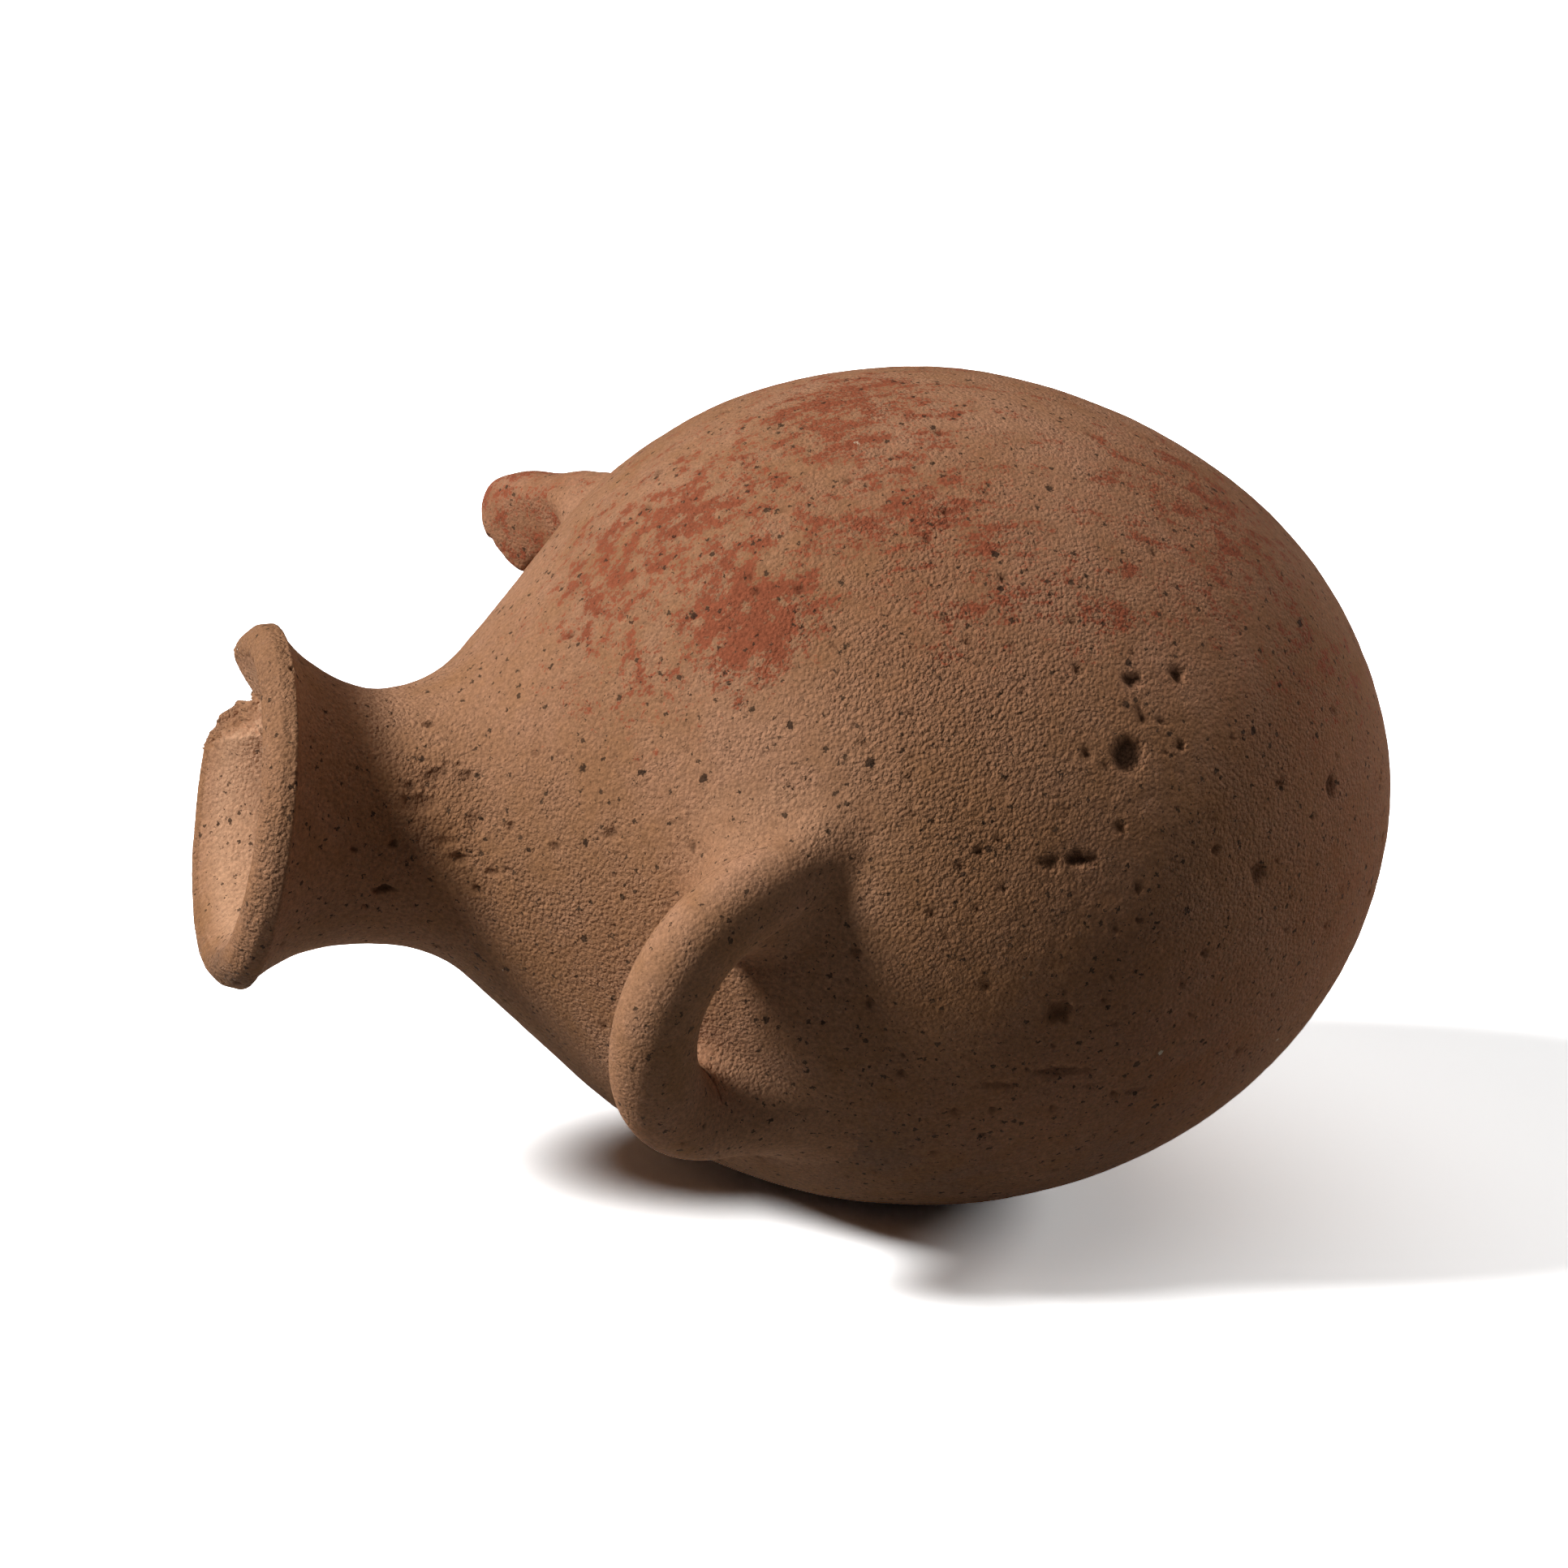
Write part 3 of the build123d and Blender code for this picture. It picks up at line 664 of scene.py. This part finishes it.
# The inside past the lip is painted paler: painted light where the lamp at the mouth's side shines into the
# mouth.
past_lip = np.clip((row_run - lip_run - 3) / 3, 0, 1)[:, None] * np.ones(columns)
face_values = {
    "slip": slip, "washed": washed, "worn": worn, "soil": soil, "stroke": wall_stroke,
    "pit": np.maximum(pit_shade_strength * skin_pit, wound_mark.ravel()), "painted_mouth_light": mouth_light_strength * past_lip,
}
face_values = {name: data.reshape(rows * columns, -1) for name, data in face_values.items()}
# Each section's name and its stretches of the outline, outside and inside; the mouth has one.
wall_sections = (
    ("base_bowl", 0, 12),
    ("lower_wall", 1, 11),
    ("belly_band", 2, 10),
    ("shoulder_band", 3, 9),
    ("shoulder_cone", 4, 8),
    ("neck_collar", 5, 7),
    ("flared_mouth", 6, 6),
)
for node_name, outer_group, inner_group in wall_sections:
    taken = np.arange(joint_rows[outer_group], joint_rows[outer_group + 1] + 1)
    if inner_group != outer_group:
        inner_rows = np.arange(joint_rows[inner_group], joint_rows[inner_group + 1] + 1)
        taken = np.concatenate((taken, inner_rows))
    numbers = (taken[:, None] * columns + np.arange(columns)).ravel()
    points = skin_at[numbers]
    facing = skin_facing[numbers]
    values = {name: data[numbers] for name, data in face_values.items()}
    tris = None
    has_poles = node_name == "base_bowl"
    if has_poles:
        points, tris = capped(points, len(taken), columns)
        facing = np.vstack((facing, ((1, 0, 0), (-1, 0, 0))))
        values = {name: np.vstack((data, data[:1], data[-1:])) for name, data in values.items()}
    section_mesh = mesh_of(node_name, points, ring_quads(len(taken), columns, not has_poles), tris)
    give(section_mesh, **values)
    section_mesh.normals_split_custom_set_from_vertices(facing)
    section_mesh.materials.append(earthenware)
    section = bpy.data.objects.new(node_name + "_clay", section_mesh)
    bpy.context.scene.collection.objects.link(section)
    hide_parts(node_name)
    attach(section, "root")


# The front handle: a thick roll of the same clay, bent into a loop, its feet pressed into the
# shoulder. It was smoothed along its length with wet fingers and is less worn than the wall.
class Loop:
    """The bent roll of a handle: where it stands on the shoulder and its section."""

    def __init__(self, angle, station_back, lean, half_span, rise, width, thickness):
        out = np.array((0, -cos(radians(angle)), sin(radians(angle))))
        foot_radius = belly_radius * np.sqrt(1 - (station_back / half_length) ** 2)
        self.along = np.array((0, sin(radians(angle)), cos(radians(angle))))
        self.rise = out * sin(radians(lean)) - np.array((cos(radians(lean)), 0, 0))
        self.side = np.cross(self.along, self.rise)
        chord = np.sqrt(foot_radius**2 - half_span**2)
        self.origin = np.array((-station_back, 0, axis_height)) + out * chord
        self.bend = (half_span**2 + rise**2) / (2 * rise)
        self.centre = self.origin + self.rise * (rise - self.bend)
        self.foot_turn = np.arctan2(self.bend - rise, half_span)
        self.half_thick = thickness / 2
        self.half_wide = width / 2

    def at(self, bent, about, thick=1.0, wide=1.0):
        """Point on the roll: how far round the bend, and how far about the roll, in radians."""
        ray = np.cos(bent)[..., None] * self.along + np.sin(bent)[..., None] * self.rise
        swell = self.bend + self.half_thick * thick * np.cos(about)
        return self.centre + ray * swell[..., None] + (
            self.half_wide * wide * np.sin(about)
        )[..., None] * self.side

    def out(self, bent, about):
        """Outward direction at a point on the roll."""
        ray = np.cos(bent)[..., None] * self.along + np.sin(bent)[..., None] * self.rise
        way = ray * (np.cos(about) / self.half_thick)[..., None] + self.side * (
            np.sin(about) / self.half_wide
        )[..., None]
        return way / np.linalg.norm(way, axis=-1, keepdims=True)

    def gap(self, points):
        """Distance from points to the roll's face, less than 0 inside it."""
        off = points - self.centre
        reach_out = np.hypot(off @ self.along, off @ self.rise) - self.bend
        side = off @ self.side
        level = np.hypot(reach_out / self.half_thick, side / self.half_wide) + 1e-9
        slope = np.hypot(reach_out / self.half_thick**2, side / self.half_wide**2) / level
        return (level - 1) / slope


body_sizes = np.array((half_length, belly_radius, belly_radius))


def body_gap(points):
    """Distance from points to the round body's face, less than 0 inside it."""
    off = points - (0, 0, axis_height)
    off[..., 2] += axis_drop(points[..., 0])
    lean = np.radians(np.interp(-points[..., 0], tilt_stations[:2], tilt_degrees[:2]))
    off[..., 0] -= off[..., 2] * np.tan(lean)
    part = off / body_sizes
    level = np.linalg.norm(part, axis=-1)
    return (level - 1) * level / np.linalg.norm(part / body_sizes, axis=-1)


def foot_bend(loop, about, start, toward):
    """Where each line along the roll dips just under the body's face, from a place on the bend."""
    foot_sunk = 0.4
    tries = start + toward * np.radians(np.linspace(0, 75, 400))
    bent = np.repeat(tries[:, None], len(about), axis=1)
    depth = body_gap(loop.at(bent, np.broadcast_to(about, bent.shape))) + foot_sunk
    first = np.argmax(depth < 0, axis=0)
    return tries[np.where(depth.min(0) < 0, first, len(tries) - 1)]


def settled(points):
    """Moves points near the upper foot down round the shoulder, as the soft roll sagged there."""
    most_sag, sag_reach = radians(3.8), 17
    away = np.linalg.norm(points - front_upper_foot, axis=-1)
    sag = most_sag * np.exp(-((away / sag_reach) ** 2))
    y, z = points[..., 1], points[..., 2] - axis_height
    turned = points.copy()
    turned[..., 1] = y * np.cos(sag) - z * np.sin(sag)
    turned[..., 2] = axis_height + y * np.sin(sag) + z * np.cos(sag)
    return turned


def clay_piece(node_name, points, quads, tris, finish, slot_name, **values):
    """Makes one clay piece that stands for a CAD node; points past the last value repeat it."""
    mesh = mesh_of(node_name, points, quads, tris)
    shown = len(values["pit"])
    for name, data in values.items():
        data = data.reshape(shown, -1)
        give(mesh, **{name: np.vstack((data, np.repeat(data[-1:], len(points) - shown, axis=0)))})
    mesh.materials.append(finish)
    piece = bpy.data.objects.new(node_name + "_clay", mesh)
    bpy.context.scene.collection.objects.link(piece)
    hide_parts(node_name)
    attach(piece, "root")


def clay_roll(node_name, at, out, stroke, ages, turned=False, **marks):
    """Ages a roll of clay given by its rows of points, closes its ends and makes the piece."""
    quads = ring_quads(*at.shape[:2])
    quads = quads[:, ::-1] if turned else quads
    aged_at, _, pits = aged_face(
        node_name + " face", at, quads, earthenware, **ages,
        outward=out, stroke=stroke, worn=marks["worn"], skin=np.ones(at.shape[:2]),
    )
    points, tris = capped(aged_at, *at.shape[:2])
    tris = tris[:, ::-1] if turned else tris
    clay_piece(node_name, points, quads, tris, earthenware, "earthenware",
               stroke=stroke, pit=pits, **marks)


front_loop = Loop(angle=-16.5, station_back=42.4, lean=29.0, half_span=25.9, rise=22.8,
                  width=12.5, thickness=15.2)
roll_columns, roll_rows = 96, 200
roll_radius = 7
about = np.linspace(0, 2 * np.pi, roll_columns, endpoint=False)
upper_end = foot_bend(front_loop, about, start=radians(40), toward=-1)
lower_end = foot_bend(front_loop, about, start=radians(140), toward=1)
bent = lower_end + (upper_end - lower_end) * np.linspace(0, 1, roll_rows)[:, None]
about_grid = np.broadcast_to(about, bent.shape)
roll_at = settled(front_loop.at(bent, about_grid))
roll_stroke = np.stack((front_loop.bend * bent, roll_radius * np.cos(about_grid),
                        roll_radius * np.sin(about_grid)), axis=-1) * mm
handle_worn = 0.04 + spot_mask(roll_at, ((-57, -55, 36, 8, 0.5), (-66, -62, 48, 10, 0.25)))
handle_slip = 0.12 + spot_mask(roll_at, ((-60, -56, 40, 9, 0.30), (-50, -66, 74, 10, 0.2)))
handle_soil = spot_mask(roll_at, ((-44, -52, 27, 6, 0.4),))
clay_roll(
    "front_handle", roll_at, front_loop.out(bent, about_grid), roll_stroke,
    {"lump": 0.16, "scrape": 0.03, "grain": 0.04, "pit_deep": 0.5, "seed": 0.31},
    slip=handle_slip, washed=0.3 * handle_slip, worn=handle_worn, soil=handle_soil,
)


# The rear handle: a thinner roll of the same clay, luted on like the front one. Its crown was lost
# long ago. Two stubs are left on the shoulder, each ending in a break whose edges have since been
# rubbed round.
rear_loop = Loop(angle=168.0, station_back=45.0, lean=56.0, half_span=21.5, rise=27.0,
                 width=11.5, thickness=11.5)
stub_radius = 6


def pressed(points):
    """Hollows the top of the upper stub and squares its end, as a thumb pressed the soft roll."""
    lift, lift_turn, lift_wide, lift_reach = 3.0, 114, 15, 3.5
    press, press_turn, press_wide, press_reach = 2.1, 156, 14, 9
    off = points - rear_loop.centre
    bent_at = np.degrees(np.arctan2(off @ rear_loop.rise, off @ rear_loop.along))
    outer = np.hypot(off @ rear_loop.along, off @ rear_loop.rise) - rear_loop.bend
    outer = np.clip(outer / rear_loop.half_thick, 0, 1)
    away = np.maximum(rear_loop.gap(points), 0)
    end_lift = lift * np.exp(-(((bent_at - lift_turn) / lift_wide) ** 2) - (away / lift_reach) ** 2)
    top_press = press * np.exp(-(((bent_at - press_turn) / press_wide) ** 2) - (away / press_reach) ** 2)
    moved = points.copy()
    moved[..., 2] += (end_lift - top_press) * outer
    return moved


def rear_stub(node_name, foot_start, foot_way, break_at, break_skew, seed):
    """A stub from its foot to a rough slanting break, which is given in the loop's own plane."""
    stub_rows, face_rows, row_spacing = 70, 14, 0.4
    # Each line along the roll runs from the foot to the plane of the break, and stops unevenly.
    foot = foot_bend(rear_loop, about, foot_start, foot_way)
    facing_way = cos(radians(break_skew)) * rear_loop.along + sin(radians(break_skew)) * rear_loop.rise
    break_point = rear_loop.origin + rear_loop.along * break_at
    tries = foot_start - foot_way * np.radians(np.linspace(-60, 100, 640))
    bent_try = np.repeat(tries[:, None], roll_columns, axis=1)
    roll_try = rear_loop.at(bent_try, np.broadcast_to(about, bent_try.shape))
    past_break = (roll_try - break_point) @ facing_way * foot_way
    end = tries[np.argmax(past_break > 0, axis=0)]
    ring_at = np.column_stack((stub_radius * np.cos(about), stub_radius * np.sin(about)))
    ragged = ripples(ring_at, 9.0, seed) + 0.3 * ripples(ring_at, 3.5, seed + 3)
    end = end - foot_way * radians(1.3) * ragged
    share = np.linspace(0, 1, stub_rows)[:, None]
    bent = foot + (end - foot) * share
    about_all = np.broadcast_to(about, bent.shape)
    # The edge of the break is rubbed round.
    rubbed_length = 2.4
    left = (1 - share) * np.abs(end - foot) * rear_loop.bend
    rubbed = np.sqrt(1 - np.clip(1 - left / rubbed_length, 0, 1) ** 2 * 0.36)
    # The roll was pressed down on the shoulder: it is fuller underneath and flat toward the mouth.
    fuller, flatter = 0.75, -0.8
    fullness = 1 + fuller * np.clip(-np.cos(about), 0, 1)
    mouth_side = (np.cos(about) < 0) & (np.sin(about) < 0)
    flat_side = np.maximum(np.abs(np.sin(about)), 0.001) ** np.where(mouth_side, flatter, 0.0)
    side = rear_loop.at(bent, about_all, rubbed * fullness, rubbed * flat_side)
    # The face of the break, from its rim in to the middle of the roll.
    middle_bent = np.full((1, roll_columns), end.mean())
    no_size = np.zeros((1, roll_columns))
    core = rear_loop.at(middle_bent, about[None, :], no_size, no_size).mean(1)
    inward = np.linspace(0, 1, face_rows + 1)[1:-1, None, None]
    rim = side[-1] - core
    rim_height = rim @ facing_way
    rim_flat = rim - rim_height[:, None] * facing_way
    face = core + rim_flat * (1 - inward) + facing_way * (rim_height[:, None] * (1 - inward) ** 4)
    rough = 0.4 * ripples(face, 3.4, seed + 1) + 0.1 * ripples(face, 1.6, seed + 2)
    face = face + facing_way * (rough * np.sin(np.pi * inward[..., 0] / 2 + 0.2))[..., None]
    grid = pressed(np.concatenate((side, face)))
    face_out = np.broadcast_to(-foot_way * facing_way, face.shape)
    out = np.concatenate((rear_loop.out(bent, about_all), face_out))
    broken = np.concatenate((np.zeros(side.shape[:2]), np.ones(face.shape[:2])))
    grid_about = np.broadcast_to(about, grid.shape[:2])
    along_stub = np.broadcast_to(np.arange(len(grid))[:, None] * row_spacing, grid.shape[:2])
    stroke = np.stack((along_stub, stub_radius * np.cos(grid_about), stub_radius * np.sin(grid_about)),
                      axis=-1) * mm
    slip = 0.44 * (1 - broken)
    clay_roll(
        node_name, grid, out, stroke,
        {"lump": 0.12, "scrape": 0.03, "grain": 0.06, "pit_deep": 0.4, "seed": 0.1 * seed},
        turned=foot_way < 0, slip=slip, washed=0.9 * slip, worn=0.1 + 0.1 * broken, soil=0.15 * broken,
    )


rear_stub("rear_upper_stub", foot_start=radians(140), foot_way=1, break_at=7.0, break_skew=30.0, seed=21)
rear_stub("rear_lower_stub", foot_start=radians(40), foot_way=-1, break_at=-4.8, break_skew=-60.0, seed=31)


# Luting: soft clay worked with a fingertip into the corner round each handle foot, so the roll
# runs out onto the shoulder in a smooth hollow. Four rings, one to a foot. The finish is the same
# clay smoothed wet: a shade browner, which gives the eye an even matt face with less slip.
luting_clay = fired_clay("finger-smoothed luting clay", "#BC8E6E", "#A47858", red_slip, 0.05)


def worked_in(at, loop, foot, keep, to_body, to_roll):
    """Moves points until they stand at the given distances from the body and from the roll."""
    step, longest_move = 1e-3, 2.0
    for _ in range(25):
        miss = np.stack((body_gap(at) - to_body, loop.gap(at) - to_roll,
                         ((at - foot) * keep[None]).sum(-1)), axis=-1)
        slopes = np.empty(at.shape + (3,))
        for k in range(3):
            moved = at.copy()
            moved[..., k] += step
            slopes[..., 0, k] = (body_gap(moved) - to_body - miss[..., 0]) / step
            slopes[..., 1, k] = (loop.gap(moved) - to_roll - miss[..., 1]) / step
            slopes[..., 2, k] = keep[None, :, k]
        change = np.linalg.solve(slopes + 1e-6 * np.eye(3), miss[..., None])[..., 0]
        size = np.linalg.norm(change, axis=-1, keepdims=True)
        at = at - change * np.minimum(1, longest_move / np.maximum(size, 1e-9))
    return at


def luting(node_name, loop, foot_turn, outside_loop, inside_loop, mouth_side, base_side, seed,
           slip_level):
    """A ring whose face runs from the body to the roll; its spread is given for four sides."""
    ring_rows, ring_columns, row_spacing, ring_radius = 22, 120, 0.6, 12
    edge_sunk, hidden_deep = 0.07, 0.35
    ray = cos(foot_turn) * loop.along + sin(foot_turn) * loop.rise
    foot = loop.centre + loop.bend * ray
    axis = -sin(foot_turn) * loop.along + cos(foot_turn) * loop.rise
    axis = axis if body_gap(foot + 5 * axis) > 0 else -axis
    first = np.cross(axis, loop.side)
    ways = np.linspace(0, 2 * np.pi, ring_columns, endpoint=False)
    out = np.cos(ways)[:, None] * first + np.sin(ways)[:, None] * loop.side
    keep = -np.sin(ways)[:, None] * first + np.cos(ways)[:, None] * loop.side
    # How far each row stands off the body and the roll, with one row hidden under both.
    share = np.linspace(0, 1, ring_rows)[:, None]
    uneven = 1 + 0.08 * ripples(np.column_stack((np.cos(ways), np.sin(ways))), 1.6, seed)
    toward = np.sign(first @ (loop.centre - foot)) * np.cos(ways)
    beside = np.where(np.sin(ways) * loop.side[0] < 0, mouth_side, base_side)
    spread = outside_loop * np.maximum(-toward, 0) ** 2 + inside_loop * np.maximum(toward, 0) ** 2
    spread = (uneven * (spread + beside * np.sin(ways) ** 2))[None, :]
    power = (2 - 0.45 * np.maximum(toward, 0))[None, :]
    hidden = np.full((1, ring_columns), -hidden_deep)
    to_body = np.vstack((spread * share**power - edge_sunk * (1 - share) ** 4, hidden))
    to_roll = np.vstack((spread * (1 - share) ** power - edge_sunk * share**4, hidden))
    at = foot + out[None] * (loop.half_wide + to_roll[..., None]) + axis * to_body[..., None]
    at = pressed(settled(worked_in(at, loop, foot, keep, to_body, to_roll)))
    # The ring follows the dents that the hand left in the wall.
    off = at - (0, 0, axis_height)
    body_out = off / body_sizes**2
    body_out /= np.linalg.norm(body_out, axis=-1, keepdims=True)
    at = at - body_out * dent_depth(off[..., 0], np.arctan2(off[..., 2], -off[..., 1]))[..., None]
    grid_ways = np.broadcast_to(ways, at.shape[:2])
    across_ring = np.broadcast_to(np.arange(len(at))[:, None] * row_spacing, at.shape[:2])
    stroke = np.stack((ring_radius * np.cos(grid_ways), ring_radius * np.sin(grid_ways), across_ring),
                      axis=-1) * mm
    quads = ring_quads(len(at), ring_columns, closed=True)
    middle = ring_rows // 2
    middle_out = np.cross(at[middle] - at[middle - 1], np.roll(at, -1, axis=1)[middle - 1] - at[middle - 1])
    if (middle_out * (out + axis)).sum() > 0:
        quads = quads[:, ::-1]
    trial = mesh_of(node_name + " trial", at.reshape(-1, 3) * mm, quads)
    facing = np.empty(at.size, np.float32)
    trial.vertex_normals.foreach_get("vector", facing)
    bpy.data.meshes.remove(trial)
    worn = worn_at(at)
    slip = np.full(worn.shape, slip_level)
    aged_at, _, pits = aged_face(
        node_name + " face", at, quads, luting_clay,
        lump=0.0, scrape=0.02, grain=0.04, pit_deep=0.4, seed=0.1 * seed,
        outward=facing, stroke=stroke, worn=worn, skin=0 * slip,
    )
    clay_piece(node_name, aged_at, quads, None, luting_clay, "luting_clay", stroke=stroke, pit=pits,
               slip=slip, washed=0.5 * slip, worn=worn, soil=0 * slip)


luting("front_lower_luting", front_loop, np.pi - front_loop.foot_turn, outside_loop=6.0,
       inside_loop=6.0, mouth_side=6.5, base_side=11.0, seed=41, slip_level=0.1)
luting("front_upper_luting", front_loop, front_loop.foot_turn, outside_loop=7.0,
       inside_loop=7.8, mouth_side=11.0, base_side=3.0, seed=42, slip_level=0.1)
luting("rear_upper_luting", rear_loop, np.pi - rear_loop.foot_turn, outside_loop=12.0,
       inside_loop=6.0, mouth_side=14.0, base_side=9.0, seed=43, slip_level=0.4)
luting("rear_lower_luting", rear_loop, rear_loop.foot_turn, outside_loop=9.0,
       inside_loop=6.0, mouth_side=9.0, base_side=9.0, seed=44, slip_level=0.3)


# The studio: a plain floor of pale paper, one soft lamp at the mouth's side, a weaker one opposite,
# a broad one overhead and a little light from all round.
floor_half, floor_level = 9, -0.0003
floor_corners = ((-1, -1), (1, -1), (1, 1), (-1, 1))
floor_mesh = bpy.data.meshes.new("floor")
floor_mesh.from_pydata([(x * floor_half, y * floor_half, floor_level) for x, y in floor_corners], [],
                       [(0, 1, 2, 3)])
floor = bpy.data.objects.new("floor", floor_mesh)
bpy.context.scene.collection.objects.link(floor)
# Pale matt paper: it is white to the eye, keeps the flask's shadow and throws little light back.
bounce_tone, seen_tone = 0.18, 3.4
paper = bpy.data.materials.new("pale floor paper")
paper.use_nodes = True
tree = paper.node_tree
tree.nodes.clear()
path = add(tree, "ShaderNodeLightPath")
seen = add(tree, "ShaderNodeMath", {0: path.outputs["Is Camera Ray"], 1: path.outputs["Is Glossy Ray"]},
           operation="MAXIMUM")
seen = add(tree, "ShaderNodeMath", {0: seen, 1: path.outputs["Is Transmission Ray"]}, operation="MAXIMUM")
tone = add(tree, "ShaderNodeMix", {"Factor": seen, 6: (bounce_tone, bounce_tone, bounce_tone, 1),
                                  7: (seen_tone, seen_tone, seen_tone, 1)}, data_type="RGBA")
sheet = add(tree, "ShaderNodeBsdfDiffuse", {"Color": tone.outputs[2]})
add(tree, "ShaderNodeOutputMaterial", {"Surface": sheet})
floor_mesh.materials.append(paper)


def placing(back, at, roll=0.0):
    """The place and turn of a lamp or camera, from the direction behind it and its roll about that."""
    back = np.array(back) / np.linalg.norm(back)
    side = np.cross((0, 0, 1), back)
    side /= np.linalg.norm(side)
    up = np.cross(back, side)
    side, up = side * cos(roll) + up * sin(roll), up * cos(roll) - side * sin(roll)
    return Matrix([(side[k], up[k], back[k], at[k]) for k in range(3)] + [(0, 0, 0, 1)])


# Each lamp's direction seen from the flask, its strength and its spread in degrees.
for lamp_name, toward, strength, spread in (
    ("key", (-0.822, -0.06, 0.566), 3.4, 15.0),
    ("fill", (0.906, 0.145, 0.399), 0.85, 22.0),
    ("overhead", (0.1, 0.12, 0.98), 0.45, 70.0),
):
    lamp = bpy.data.lights.new(lamp_name, "SUN")
    lamp.energy = strength
    lamp.angle = radians(spread)
    holder = bpy.data.objects.new(lamp_name, lamp)
    holder.matrix_world = placing(toward, toward)
    bpy.context.scene.collection.objects.link(holder)

room_light = 0.006
world = bpy.data.worlds.new("soft room")
world.use_nodes = True
world.node_tree.nodes["Background"].inputs["Color"].default_value = colour("#FFFFFF")
world.node_tree.nodes["Background"].inputs["Strength"].default_value = room_light
bpy.context.scene.world = world

# The camera stands in front of the handle, a little to the mouth's side, looks down and is rolled.
camera_turn, camera_rise, camera_roll = radians(17.37), radians(18), radians(5.5)
camera_at = (-0.24648071, -0.70846904, 0.31314869)
camera_back = (-sin(camera_turn) * cos(camera_rise), -cos(camera_turn) * cos(camera_rise),
               sin(camera_rise))
lens = bpy.data.cameras.new("camera")
lens.lens = 104.348
lens.sensor_width = 36.0
lens.clip_end = 50.0
camera = bpy.data.objects.new("camera", lens)
camera.matrix_world = placing(camera_back, camera_at, camera_roll)
bpy.context.scene.collection.objects.link(camera)
bpy.context.scene.camera = camera
bpy.context.scene.view_settings.view_transform = "Standard"
